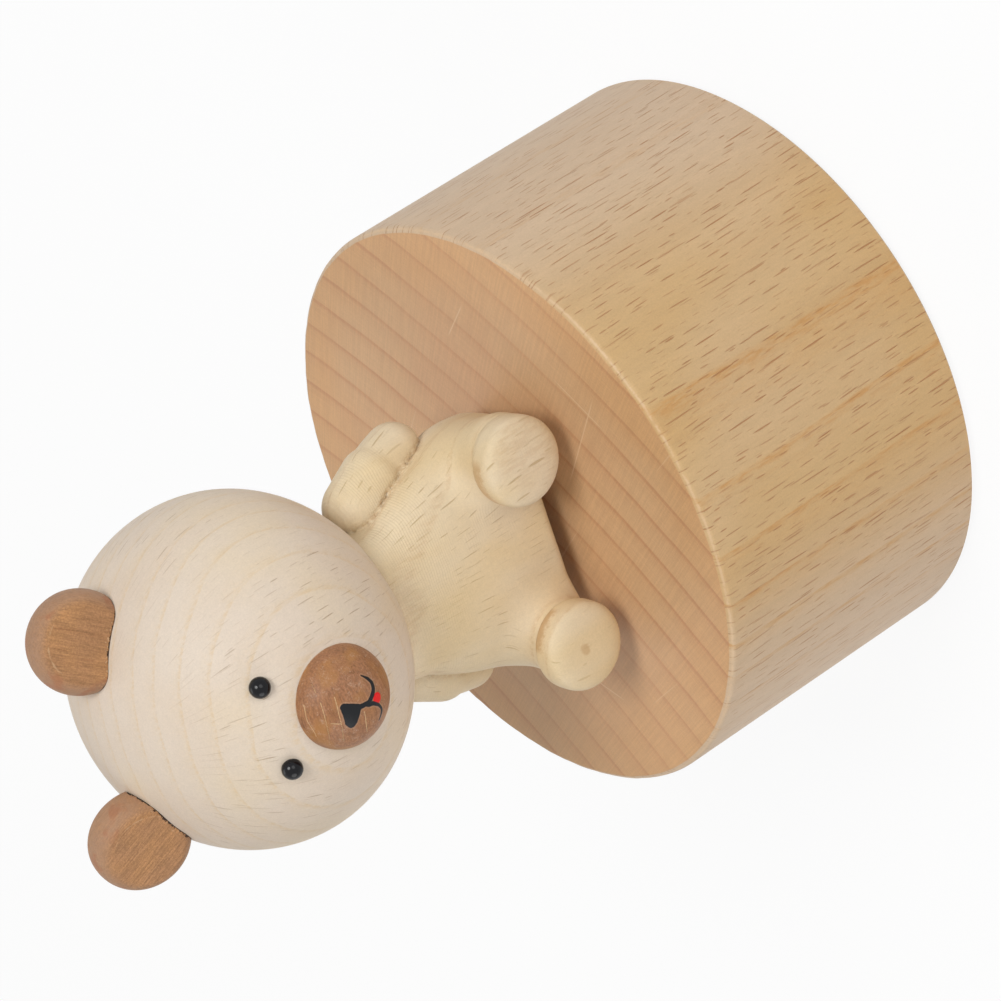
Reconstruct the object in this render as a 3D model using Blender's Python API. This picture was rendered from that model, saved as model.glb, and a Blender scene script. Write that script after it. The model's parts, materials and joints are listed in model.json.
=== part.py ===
"""Turning wooden bear music box: a round beech case with a wind-up movement inside, and a bear that is
both the winding handle and the figure that turns while the tune plays. Metres, +Z up, origin at the centre
of the underside, bear facing -Y."""
import math

import bmesh
import bpy
import numpy as np
from mathutils import Matrix, Vector

# Clearances between solids
SEAT_GAP = 0.0003
SMALL_GAP = 0.0002
RUN_GAP = 0.0004

# Case
DRUM_RADIUS = 0.035
DRUM_HEIGHT = 0.0384
DRUM_RIM = 0.0007
FOOT_LIFT = 0.0005
TOP_WALL = 0.010
SIDE_WALL = 0.005
LEDGE = 0.003
COVER_THICK = 0.003
FELT_THICK = 0.0015
FELT_MARGIN = 0.0037
COVER_SCREW_SHANK = 0.0007
COVER_SCREW_HEAD = 0.0013
COVER_SCREW_LENGTH = 0.009
COVER_SCREWS = 3

# Winding arbor and its bearings
ARBOR_RADIUS = 0.0015
ARBOR_GROOVE = 0.0003
ARBOR_GRIP = 0.009
BUSH_WALL = 0.0012
BUSH_FLANGE = 0.0006
BUSH_LIP = 0.0011
RING_THICK = 0.0005
RING_WIDTH = 0.0013

# Movement plate
PLATE_THICK = 0.002
PLATE_MARGIN = 0.001
PLATE_PAST_EARS = 0.0012
PLATE_PAST_LUG = 0.0006
PLATE_PAST_COMB = 0.0018
PLATE_PAST_WORM = 0.0046
MOVEMENT_ROOM = 0.0006
PLATE_SCREW_SHANK = 0.001
PLATE_SCREW_HEAD = 0.002
PLATE_SCREW_LENGTH = 0.006
PLATE_SCREW_INSET = 0.0035
PLATE_SCREW_FRONT = 0.0048
PLATE_SCREW_BACK = 0.0055
PLATE_SCREW_OFF_LUG = 0.0007
PLATE_SCREW_PAST_LUG = 0.0009
SCREW_HEAD_HEIGHT = 0.0009

# Gear train: the great wheel is a crown wheel, the others are spur wheels and a worm
CROWN_TEETH = 36
CROWN_RADIUS = 0.0102
CROWN_FACE = 0.0016
CROWN_DISC = 0.0015
PINION_TEETH = 9
PINION_FACE = 0.0014
END_GEAR_TEETH = 36
GOV_PINION_TEETH = 10
SPUR_MODULE = 0.0004
SPUR_FACE = 0.001
WORM_WHEEL_TEETH = 22
WORM_MODULE = 0.0003
WORM_WHEEL_FACE = 0.0012
WORM_RADIUS = 0.0014
WORM_LENGTH = 0.0036
TOOTH_BACKLASH = 0.22
TOOTH_REACH = 0.78
GEAR_ROOM = 0.0005

# Music cylinder and comb
CYLINDER_RADIUS = 0.0046
CYLINDER_WALL = 0.0005
AXLE_RADIUS = 0.0008
LUG_THICK = 0.0006
OUTER_LUG_THICK = 0.0008
LUG_HALF_WIDTH = 0.0024
PIN_HEIGHT = 0.0005
PIN_RADIUS = 0.00016
PIN_ROWS = 9
PINS_PER_ROW = 4
COMB_TEETH = 18
COMB_THICK = 0.0008
COMB_TOOTH_LENGTH = 0.0062
COMB_LAND = 0.0044
COMB_SLOT_SHARE = 0.34
COMB_SCREW_SHANK = 0.0008
COMB_SCREW_HEAD = 0.0014

# Spring housing and mainspring
HOUSING_OFF_PINION = 0.0009
HOUSING_WALL = 0.0008
HOUSING_EAR_REACH = 0.0052
ARBOR_LIFT = 0.0028
HOUSING_EAR_WIDTH = 0.0046
HOUSING_EARS = 3
HOUSING_EAR_TURN = math.radians(66.0)
POST_RADIUS = 0.0019
HOUSING_SCREW_SHANK = 0.0008
HOUSING_SCREW_HEAD = 0.0015
HOUSING_SCREW_LENGTH = 0.0042
MAINSPRING_TURNS = 4.5
MAINSPRING_THICK = 0.00035
CLUTCH_TURNS = 1.5
CLUTCH_WIRE = 0.00045
CLUTCH_PITCH = 0.00095

# Governor
GOV_SHAFT_RADIUS = 0.0005
WORM_SHAFT_RADIUS = 0.0005
FRAME_THICK = 0.0007
FRAME_STANDOFF = 0.0055
FRAME_SIDE = 0.0017
FAN_RADIUS = 0.0045
FAN_HEIGHT = 0.0024
FAN_THICK = 0.0004
FAN_HUB = 0.0011
GOVERNOR_LIFT = 0.004
GOVERNOR_OFF_SCREW = 0.00085
GOV_SCREW_SHANK = 0.0007
GOV_SCREW_HEAD = 0.0013

# Bear: body turned and carved from one block
HOVER = 0.0008
BODY_HALF_WIDTH_LOW = 0.0135
BODY_HALF_WIDTH_TOP = 0.0092
BODY_SIDE_CROWN = 0.002
BODY_HALF_DEPTH_LOW = 0.0075
BODY_HALF_DEPTH_TOP = 0.0056
BODY_BACK_DEPTH = 0.0088
BODY_CENTRE_Y = -0.003
BODY_TAPER_HEIGHT = 0.0203
BODY_TOP_HEIGHT = 0.0243
BODY_SEAT_ROUND = 0.0035
BODY_FRONT_SQUARENESS = 3.4
BODY_BACK_SQUARENESS = 2.3
HIP = (0.0086, -0.0029, 0.0061)
HIP_RADIUS = 0.005
ANKLE_RADIUS = 0.0043
ANKLE_DROP = 0.0002
FOOT = (0.0116, -0.0164, 0.0063)
FOOT_RADIUS = 0.0051
FOOT_HALF_THICK = 0.0021
FOOT_EDGE = 0.0017
FOOT_SPLAY = math.radians(1.0)
FOOT_TILT = math.radians(2.0)
SHOULDER = (0.0097, 0.0003, 0.0184)
SHOULDER_RADIUS = 0.0042
ELBOW = (0.0121, 0.0004, 0.0152)
ELBOW_RADIUS = 0.0037
HAND = (0.0133, 0.0009, 0.0112)
HAND_RADIUS = 0.0033
BODY_BLEND = 0.0026
CREASE_BLEND = 0.001
BODY_CELL = 0.0015

# Bear: head, ears, muzzle and eyes
HEAD_RADIUS = 0.0201
HEAD_HALF_HEIGHT = 0.01845
HEAD_Y = 0.0029
NECK_SINK = 0.00505
EAR_OUT = 0.0119
EAR_BACK = 0.0018
EAR_UP = 0.01725
EAR_OFF_LEVEL = 0.0008
EAR_OFF_CENTRE = 0.0003
EAR_PROUD = 0.0021
EAR_OFF_PROUD = 0.0005
EAR_RADIUS = 0.0058
EAR_FLAT_RADIUS = 0.004
EAR_HALF_THICK = 0.0028
EAR_TILT = math.radians(15.0)
MUZZLE_SINK = 0.0009
MUZZLE_UP = 0.0005
MUZZLE_RADIUS = 0.00575
MUZZLE_HALF_DEPTH = 0.0045
EYE_OUT = 0.005
EYE_UP = 0.0083
EYE_RADIUS = 0.0012
EYE_STEM_RADIUS = 0.0005
EYE_STEM_LENGTH = 0.004
DOWEL_RADIUS = 0.0015
EAR_DOWEL_LENGTH = 0.007
MUZZLE_DOWEL_LENGTH = 0.0063
MUZZLE_DOWEL_SINK = 0.0008
NECK_DOWEL_RADIUS = 0.003
NECK_DOWEL_LENGTH = 0.0132
NECK_DOWEL_RISE = 0.0005
INSERT_WALL = 0.0011

# Facets round each kind of circle
FINE = 64
MEDIUM = 24
COARSE = 12
TINY = 8

# Levels worked out from the driving dimensions
DRUM_BOTTOM = FOOT_LIFT
DRUM_TOP = DRUM_BOTTOM + DRUM_HEIGHT
POCKET_TOP = DRUM_TOP - TOP_WALL
POCKET_RADIUS = DRUM_RADIUS - SIDE_WALL
REBATE_RADIUS = POCKET_RADIUS + LEDGE
COVER_BOTTOM = FELT_THICK + SEAT_GAP
COVER_TOP = COVER_BOTTOM + COVER_THICK
LEDGE_LEVEL = COVER_TOP + SEAT_GAP
PLATE_TOP = POCKET_TOP - SEAT_GAP
PLATE_BOTTOM = PLATE_TOP - PLATE_THICK
PINION_RADIUS = CROWN_RADIUS * PINION_TEETH / CROWN_TEETH
CROWN_MODULE = 2.0 * CROWN_RADIUS / CROWN_TEETH
CROWN_ROOT_LIFT = PINION_RADIUS + CROWN_MODULE * 1.05
CLUTCH_HEIGHT = CLUTCH_TURNS * CLUTCH_PITCH + CLUTCH_WIRE
CROWN_STACK = CROWN_ROOT_LIFT + CROWN_DISC + SMALL_GAP + CLUTCH_HEIGHT + 2.0 * SEAT_GAP + BUSH_FLANGE
END_GEAR_RADIUS = SPUR_MODULE * END_GEAR_TEETH / 2.0
END_GEAR_TIP = END_GEAR_RADIUS + SPUR_MODULE * TOOTH_REACH
AXLE_LEVEL = PLATE_BOTTOM - max(CROWN_STACK, END_GEAR_TIP + GEAR_ROOM)
CROWN_PITCH_LEVEL = AXLE_LEVEL + PINION_RADIUS
CROWN_ROOT_LEVEL = AXLE_LEVEL + CROWN_ROOT_LIFT
CROWN_TOP = CROWN_ROOT_LEVEL + CROWN_DISC
GOV_PINION_RADIUS = SPUR_MODULE * GOV_PINION_TEETH / 2.0
WORM_WHEEL_RADIUS = WORM_MODULE * WORM_WHEEL_TEETH / 2.0
GOV_Y = END_GEAR_RADIUS + GOV_PINION_RADIUS
WORM_Y = GOV_Y + WORM_WHEEL_RADIUS + WORM_RADIUS
PINION_X = CROWN_RADIUS - PINION_FACE / 2.0
INNER_LUG_X = CROWN_RADIUS + CROWN_FACE / 2.0 + RUN_GAP
CYLINDER_X = INNER_LUG_X + LUG_THICK + SEAT_GAP
COMB_TIP_Y = -(CYLINDER_RADIUS + PIN_HEIGHT + SEAT_GAP)
COMB_ROOT_Y = COMB_TIP_Y - COMB_TOOTH_LENGTH
COMB_BACK_Y = COMB_ROOT_Y - COMB_LAND
LUG_BACK_Y = GOV_Y + LUG_HALF_WIDTH
MOVEMENT_REACH = POCKET_RADIUS - MOVEMENT_ROOM
LUG_END_X = math.sqrt(MOVEMENT_REACH ** 2 - LUG_BACK_Y ** 2)
COMB_END_X = math.sqrt(MOVEMENT_REACH ** 2 - COMB_BACK_Y ** 2)
CYLINDER_LENGTH = min(LUG_END_X - OUTER_LUG_THICK - SPUR_FACE - 2.0 * SEAT_GAP, COMB_END_X) - CYLINDER_X
END_GEAR_X = CYLINDER_X + CYLINDER_LENGTH + SEAT_GAP
OUTER_LUG_X = END_GEAR_X + SPUR_FACE + SEAT_GAP
LUG_SCREW_X = OUTER_LUG_X - PLATE_SCREW_HEAD - PLATE_SCREW_OFF_LUG
WORM_X = LUG_SCREW_X - PLATE_SCREW_HEAD - GOVERNOR_OFF_SCREW - FRAME_SIDE
HOUSING_TOP = CROWN_PITCH_LEVEL - CROWN_MODULE * TOOTH_REACH - GEAR_ROOM
ARBOR_BOTTOM = COVER_TOP + ARBOR_LIFT
HOUSING_BOTTOM = ARBOR_BOTTOM + RING_THICK + 3.0 * SEAT_GAP
HOUSING_RADIUS = PINION_X - HOUSING_OFF_PINION
HOUSING_EAR_RADIUS = HOUSING_RADIUS + HOUSING_EAR_REACH
PLATE_LEFT = HOUSING_EAR_RADIUS + PLATE_PAST_EARS
PLATE_RIGHT = OUTER_LUG_X + OUTER_LUG_THICK + PLATE_PAST_LUG
PLATE_FRONT = PLATE_PAST_COMB - COMB_BACK_Y
PLATE_BACK = WORM_Y + PLATE_PAST_WORM
PLATE_SCREW_SPOTS = (
    (PLATE_SCREW_INSET - PLATE_LEFT, PLATE_SCREW_FRONT - PLATE_FRONT),
    (PLATE_SCREW_INSET - PLATE_LEFT, PLATE_BACK - PLATE_SCREW_BACK),
    (LUG_SCREW_X, LUG_BACK_Y + PLATE_SCREW_PAST_LUG),
)
FIGURE_BASE = DRUM_TOP + HOVER
ARBOR_TOP = FIGURE_BASE + ARBOR_GRIP
HEAD_CENTRE = Vector((0.0, HEAD_Y, FIGURE_BASE + BODY_TOP_HEIGHT - NECK_SINK + HEAD_HALF_HEIGHT))
COMB_BOTTOM = AXLE_LEVEL - COMB_THICK / 2.0
COMB_TOP = AXLE_LEVEL + COMB_THICK / 2.0
FRAME_X = WORM_X - FRAME_STANDOFF
FRAME_FOOT_TOP = PLATE_BOTTOM - SEAT_GAP
WORM_SHAFT_TOP = FRAME_FOOT_TOP - SEAT_GAP
WORM_SHAFT_BOTTOM = COVER_TOP + GOVERNOR_LIFT
FAN_LEVEL = WORM_SHAFT_BOTTOM + FRAME_THICK + 2.0 * SEAT_GAP


def clear_scene():
    """Remove whatever the open file holds."""
    for item in list(bpy.data.objects):
        bpy.data.objects.remove(item, do_unlink=True)


def material(name, colour, roughness, metallic=0.0):
    """A Principled material with the piece's plain colour."""
    made = bpy.data.materials.new(name)
    made.use_nodes = True
    shader = made.node_tree.nodes["Principled BSDF"]
    shader.inputs["Base Color"].default_value = (*colour, 1.0)
    shader.inputs["Roughness"].default_value = roughness
    shader.inputs["Metallic"].default_value = metallic
    made.diffuse_color = (*colour, 1.0)
    return made


def empty(name, location, parent=None):
    """A joint's axis: pieces that turn on it are its children."""
    made = bpy.data.objects.new(name, None)
    made.location = location
    made.parent = parent
    bpy.context.scene.collection.objects.link(made)
    return made


def finish_mesh(shape, name, smooth):
    """Turn a bmesh into a mesh with outward faces, shaded smooth where it is round."""
    bmesh.ops.remove_doubles(shape, verts=shape.verts, dist=1e-7)
    bmesh.ops.recalc_face_normals(shape, faces=shape.faces)
    mesh = bpy.data.meshes.new(name)
    shape.to_mesh(mesh)
    shape.free()
    if smooth:
        mesh.shade_smooth()
        mesh.set_sharp_from_angle(angle=math.radians(35.0))
    return mesh


def place(name, mesh, finish, parent=None, location=(0.0, 0.0, 0.0), rotation=(0.0, 0.0, 0.0)):
    """One named object for one physical piece."""
    made = bpy.data.objects.new(name, mesh)
    made.location = location
    made.rotation_euler = rotation
    made.parent = parent
    if finish:
        mesh.materials.clear()
        mesh.materials.append(finish)
    bpy.context.scene.collection.objects.link(made)
    return made


def guide(mesh, parent=None, location=(0.0, 0.0, 0.0), rotation=(0.0, 0.0, 0.0)):
    """A cutter or a shape to unite: hidden, drawn as wire and left out of the part."""
    made = place("guide", mesh, None, parent, location, rotation)
    made.hide_render = True
    made.display_type = "WIRE"
    return made


def boolean(target, other, operation="DIFFERENCE"):
    """Cut or unite a guide with the exact solver."""
    modifier = target.modifiers.new(operation.title(), "BOOLEAN")
    modifier.operation = operation
    modifier.solver = "EXACT"
    modifier.object = other
    return target


def turned(name, profile, segments, smooth=True):
    """Turn a closed outline of (radius, height) points about Z; radius 0 is a pole."""
    shape = bmesh.new()
    rings = []
    for radius, height in profile:
        if radius < 1e-9:
            rings.append([shape.verts.new((0.0, 0.0, height))])
            continue
        ring = []
        for step in range(segments):
            angle = 2.0 * math.pi * step / segments
            ring.append(shape.verts.new((radius * math.cos(angle), radius * math.sin(angle), height)))
        rings.append(ring)
    for lower, upper in zip(rings, rings[1:] + rings[:1]):
        for step in range(segments):
            after = (step + 1) % segments
            corners = []
            for corner in (lower[step % len(lower)], lower[after % len(lower)],
                           upper[after % len(upper)], upper[step % len(upper)]):
                if corner not in corners:
                    corners.append(corner)
            if len(corners) > 2:
                shape.faces.new(corners)
    return finish_mesh(shape, name, smooth)


def rod(name, radius, low, high, segments=COARSE, bore=0.0):
    """A plain rod or tube along Z between two levels."""
    if bore > 0.0:
        outline = [(bore, low), (radius, low), (radius, high), (bore, high)]
    else:
        outline = [(0.0, low), (radius, low), (radius, high), (0.0, high)]
    return turned(name, outline, segments)


def block(name, low, high):
    """A box between two corners."""
    shape = bmesh.new()
    bmesh.ops.create_cube(shape, size=1.0)
    size = [b - a for a, b in zip(low, high)]
    centre = [(a + b) / 2.0 for a, b in zip(low, high)]
    place_and_size = Matrix.Translation(centre) @ Matrix.Diagonal((*size, 1.0))
    bmesh.ops.transform(shape, matrix=place_and_size, verts=shape.verts)
    return finish_mesh(shape, name, False)


def prism(name, outline, low, high, smooth=False):
    """An outline in XY raised from one level to another."""
    shape = bmesh.new()
    lower = [shape.verts.new((x, y, low)) for x, y in outline]
    upper = [shape.verts.new((x, y, high)) for x, y in outline]
    shape.faces.new(lower[::-1])
    shape.faces.new(upper)
    for step in range(len(outline)):
        after = (step + 1) % len(outline)
        shape.faces.new((lower[step], lower[after], upper[after], upper[step]))
    return finish_mesh(shape, name, smooth)


def gear_outline(teeth, module, phase):
    """Straight-sided teeth: half a pitch wide at the pitch circle, less the backlash."""
    pitch_radius = module * teeth / 2.0
    tip = pitch_radius + module * TOOTH_REACH
    root = pitch_radius - module * 1.08
    step = 2.0 * math.pi / teeth
    at_root = step * 0.34
    at_pitch = step * (0.25 - TOOTH_BACKLASH / 4.0)
    at_tip = at_pitch * 0.5
    points = []
    for tooth in range(teeth):
        centre = phase + tooth * step
        for radius, offset in ((root, -at_root), (tip, -at_tip), (tip, at_tip), (root, at_root)):
            points.append((radius * math.cos(centre + offset), radius * math.sin(centre + offset)))
    return points


def gear(name, teeth, module, phase, face, bore, finish, parent, location, rotation):
    """A spur wheel with a plain bore."""
    blank = prism(name, gear_outline(teeth, module, phase), 0.0, face)
    wheel = place(name, blank, finish, parent, location, rotation)
    hole = rod("bore", bore, -face, 2.0 * face)
    return boolean(wheel, guide(hole, parent, location, rotation))


def screw(name, shank, head, length, head_height, finish, parent, seat, direction, slot_share=0.28):
    """A slotted pan screw: the head's underside is at the seat and the shank runs along direction."""
    profile = [(0.0, -head_height), (head, -head_height), (head, 0.0), (shank, 0.0), (shank, length - shank),
               (0.0, length)]
    turn = Vector((0.0, 0.0, 1.0)).rotation_difference(Vector(direction)).to_euler()
    made = place(name, turned(name, profile, TINY), finish, parent, seat, turn)
    width = head * slot_share / 2.0
    slot = block("slot", (-head * 1.2, -width, -head_height * 1.5), (head * 1.2, width, -head_height * 0.55))
    return boolean(made, guide(slot, parent, seat, turn))


def wood_materials():
    """The plain colours of the woods, paint, felt and metals."""
    return {
        "beech": material("beech", (0.62, 0.40, 0.22), 0.5),
        "ply": material("ply", (0.66, 0.50, 0.33), 0.6),
        "cream": material("cream", (0.80, 0.70, 0.56), 0.5),
        "body": material("body", (0.80, 0.67, 0.47), 0.5),
        "brown": material("brown", (0.42, 0.24, 0.12), 0.45),
        "bead": material("bead", (0.01, 0.01, 0.012), 0.12),
        "felt": material("felt", (0.05, 0.11, 0.07), 0.95),
        "zinc": material("zinc", (0.55, 0.56, 0.57), 0.4, 0.9),
        "steel": material("steel", (0.6, 0.6, 0.62), 0.3, 1.0),
        "brass": material("brass", (0.72, 0.53, 0.24), 0.3, 1.0),
        "nylon": material("nylon", (0.80, 0.79, 0.74), 0.5),
    }


def make_case(mats):
    """The turned beech drum, its plywood base cover, the felt pad and the cover's screws."""
    low_edge = DRUM_RIM * 0.6
    profile = [(REBATE_RADIUS, DRUM_BOTTOM), (DRUM_RADIUS - low_edge, DRUM_BOTTOM),
               (DRUM_RADIUS, DRUM_BOTTOM + low_edge), (DRUM_RADIUS, DRUM_TOP - DRUM_RIM)]
    for step in range(1, 3):
        angle = math.radians(45.0 * step)
        profile.append((DRUM_RADIUS - DRUM_RIM * (1.0 - math.cos(angle)),
                        DRUM_TOP - DRUM_RIM * (1.0 - math.sin(angle))))
    hole = ARBOR_RADIUS + 2.0 * RUN_GAP
    profile += [(hole, DRUM_TOP), (hole, POCKET_TOP), (POCKET_RADIUS, POCKET_TOP), (POCKET_RADIUS, LEDGE_LEVEL),
                (REBATE_RADIUS, LEDGE_LEVEL)]
    drum = place("base_drum", turned("base_drum", profile, FINE), mats["beech"])

    disc = rod("bottom_cover", REBATE_RADIUS - SEAT_GAP, COVER_BOTTOM, COVER_TOP, FINE)
    cover = place("bottom_cover", disc, mats["ply"])
    felt_radius = REBATE_RADIUS - FELT_MARGIN
    place("felt_pad", rod("felt_pad", felt_radius, 0.0, FELT_THICK, FINE), mats["felt"])
    screw_circle = POCKET_RADIUS + LEDGE / 2.0
    seat = COVER_BOTTOM + SCREW_HEAD_HEIGHT
    for number in range(COVER_SCREWS):
        angle = 2.0 * math.pi * number / COVER_SCREWS + math.radians(20.0)
        spot = Vector((screw_circle * math.cos(angle), screw_circle * math.sin(angle), seat))
        screw(f"cover_screw_{number + 1}", COVER_SCREW_SHANK, COVER_SCREW_HEAD, COVER_SCREW_LENGTH,
              SCREW_HEAD_HEIGHT, mats["steel"], None, spot, (0.0, 0.0, 1.0))
        bore = COVER_SCREW_SHANK + SMALL_GAP
        boolean(drum, guide(rod("pilot", bore, -COVER_THICK, COVER_SCREW_LENGTH + SEAT_GAP, TINY), None, spot))
        boolean(cover, guide(rod("pilot", bore, -COVER_THICK, 2.0 * COVER_THICK, TINY), None, spot))
        sink = COVER_SCREW_HEAD + SMALL_GAP
        boolean(cover, guide(rod("sink", sink, -2.0 * SCREW_HEAD_HEIGHT, SEAT_GAP, TINY), None, spot))
    return drum


def lug_outline(half_width, drop, lift, far_y=None):
    """A bearing lug's outline in (Y, Z) round the axle: flat sides and a half-round lower end."""
    points = []
    for step in range(9):
        angle = math.pi + math.pi * step / 8.0
        points.append((half_width * math.cos(angle), drop + half_width * math.sin(angle)))
    right = half_width if far_y is None else far_y
    if far_y is not None:
        points = points[:5] + [(far_y - half_width * 0.4, drop - half_width), (far_y, drop - half_width * 0.6)]
    return points + [(right, lift), (-half_width, lift)]


def make_plate(mats, drum):
    """The cast movement plate with its lugs, posts and comb block, screwed up under the case's top wall."""
    outline = [(-PLATE_LEFT, -PLATE_FRONT), (PLATE_RIGHT, -PLATE_FRONT), (PLATE_RIGHT, PLATE_BACK),
               (-PLATE_LEFT, PLATE_BACK)]
    plate = place("bedplate", prism("bedplate", outline, PLATE_BOTTOM, PLATE_TOP), mats["zinc"])
    limit = rod("limit", POCKET_RADIUS - PLATE_MARGIN, PLATE_BOTTOM - PLATE_THICK, PLATE_TOP + PLATE_THICK, FINE)
    boolean(plate, guide(limit), "INTERSECT")

    axis_turn = (0.0, math.pi / 2.0, 0.0)
    lift = PLATE_BOTTOM + PLATE_THICK / 2.0 - AXLE_LEVEL
    for start, thick, far_y in ((INNER_LUG_X, LUG_THICK, None), (OUTER_LUG_X, OUTER_LUG_THICK, LUG_BACK_Y)):
        # local X of a piece that is turned onto +X points down, so the outline is given as (-Z, Y)
        flat = [(-z, y) for y, z in lug_outline(LUG_HALF_WIDTH, 0.0, lift, far_y)]
        lug = guide(prism("lug", flat, 0.0, thick), None, (start, 0.0, AXLE_LEVEL), axis_turn)
        boolean(plate, lug, "UNION")
    for number in range(HOUSING_EARS):
        angle = HOUSING_EAR_TURN + 2.0 * math.pi * number / HOUSING_EARS
        spot = (HOUSING_EAR_RADIUS * math.cos(angle), HOUSING_EAR_RADIUS * math.sin(angle), 0.0)
        post = rod("post", POST_RADIUS, HOUSING_TOP + SEAT_GAP, PLATE_BOTTOM + PLATE_THICK / 2.0)
        boolean(plate, guide(post, None, spot), "UNION")
    rest = block("comb_rest", (CYLINDER_X, COMB_BACK_Y, COMB_TOP + SEAT_GAP),
                 (CYLINDER_X + CYLINDER_LENGTH, COMB_ROOT_Y - SEAT_GAP, PLATE_BOTTOM + PLATE_THICK / 2.0))
    boolean(plate, guide(rest), "UNION")

    bush_hole = ARBOR_RADIUS + RUN_GAP + BUSH_WALL + SMALL_GAP
    boolean(plate, guide(rod("bush_hole", bush_hole, PLATE_BOTTOM - PLATE_THICK, PLATE_TOP + PLATE_THICK, MEDIUM)))
    bearing = rod("bearing", AXLE_RADIUS + SEAT_GAP, -LUG_THICK, OUTER_LUG_X + 2.0 * OUTER_LUG_THICK - INNER_LUG_X)
    boolean(plate, guide(bearing, None, (INNER_LUG_X, 0.0, AXLE_LEVEL), axis_turn))
    bearing = rod("bearing", GOV_SHAFT_RADIUS + SEAT_GAP, -OUTER_LUG_THICK, 2.0 * OUTER_LUG_THICK, TINY)
    boolean(plate, guide(bearing, None, (OUTER_LUG_X, GOV_Y, AXLE_LEVEL), axis_turn))

    for number, (x, y) in enumerate(PLATE_SCREW_SPOTS):
        spot = (x, y, PLATE_BOTTOM - SMALL_GAP)
        screw(f"movement_screw_{number + 1}", PLATE_SCREW_SHANK, PLATE_SCREW_HEAD, PLATE_SCREW_LENGTH,
              SCREW_HEAD_HEIGHT, mats["steel"], None, spot, (0.0, 0.0, 1.0))
        bore = rod("pilot", PLATE_SCREW_SHANK + SEAT_GAP, -SEAT_GAP, PLATE_SCREW_LENGTH + SEAT_GAP, TINY)
        boolean(plate, guide(bore, None, spot))
        boolean(drum, guide(bore, None, spot))
    bush_profile = [(ARBOR_RADIUS + RUN_GAP, PLATE_BOTTOM - SEAT_GAP - BUSH_FLANGE),
                    (bush_hole + BUSH_LIP, PLATE_BOTTOM - SEAT_GAP - BUSH_FLANGE),
                    (bush_hole + BUSH_LIP, PLATE_BOTTOM - SEAT_GAP),
                    (bush_hole - SMALL_GAP, PLATE_BOTTOM - SEAT_GAP),
                    (bush_hole - SMALL_GAP, PLATE_TOP - SEAT_GAP),
                    (ARBOR_RADIUS + RUN_GAP, PLATE_TOP - SEAT_GAP)]
    place("arbor_bush", turned("arbor_bush", bush_profile, MEDIUM), mats["brass"])
    return plate


def spiral_strip(name, inner, outer, turns, thick, low, high, steps_per_turn):
    """A flat ribbon wound in a spiral whose radius grows at a steady rate."""
    shape = bmesh.new()
    steps = int(round(turns * steps_per_turn))
    sections = []
    for step in range(steps + 1):
        share = step / steps
        angle = 2.0 * math.pi * turns * share
        radius = inner + (outer - inner) * share
        section = []
        for offset, height in ((-thick / 2.0, low), (thick / 2.0, low), (thick / 2.0, high), (-thick / 2.0, high)):
            reach = radius + offset
            section.append(shape.verts.new((reach * math.cos(angle), reach * math.sin(angle), height)))
        sections.append(section)
    for before, after in zip(sections, sections[1:]):
        for side in range(4):
            beside = (side + 1) % 4
            shape.faces.new((before[side], before[beside], after[beside], after[side]))
    shape.faces.new(sections[0][::-1])
    shape.faces.new(sections[-1])
    return finish_mesh(shape, name, True)


def coil(name, radius, wire, pitch, turns, low, steps_per_turn=10, sides=5):
    """A round wire on a helix, closed at both ends."""
    shape = bmesh.new()
    steps = int(round(turns * steps_per_turn))
    rings = []
    for step in range(steps + 1):
        angle = 2.0 * math.pi * step / steps_per_turn
        height = low + wire / 2.0 + pitch * step / steps_per_turn
        ring = []
        for side in range(sides):
            around = 2.0 * math.pi * side / sides
            reach = radius + wire / 2.0 * math.cos(around)
            ring.append(shape.verts.new((reach * math.cos(angle), reach * math.sin(angle),
                                         height + wire / 2.0 * math.sin(around))))
        rings.append(ring)
    for before, after in zip(rings, rings[1:]):
        for side in range(sides):
            beside = (side + 1) % sides
            shape.faces.new((before[side], before[beside], after[beside], after[side]))
    shape.faces.new(rings[0][::-1])
    shape.faces.new(rings[-1])
    return finish_mesh(shape, name, True)


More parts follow.
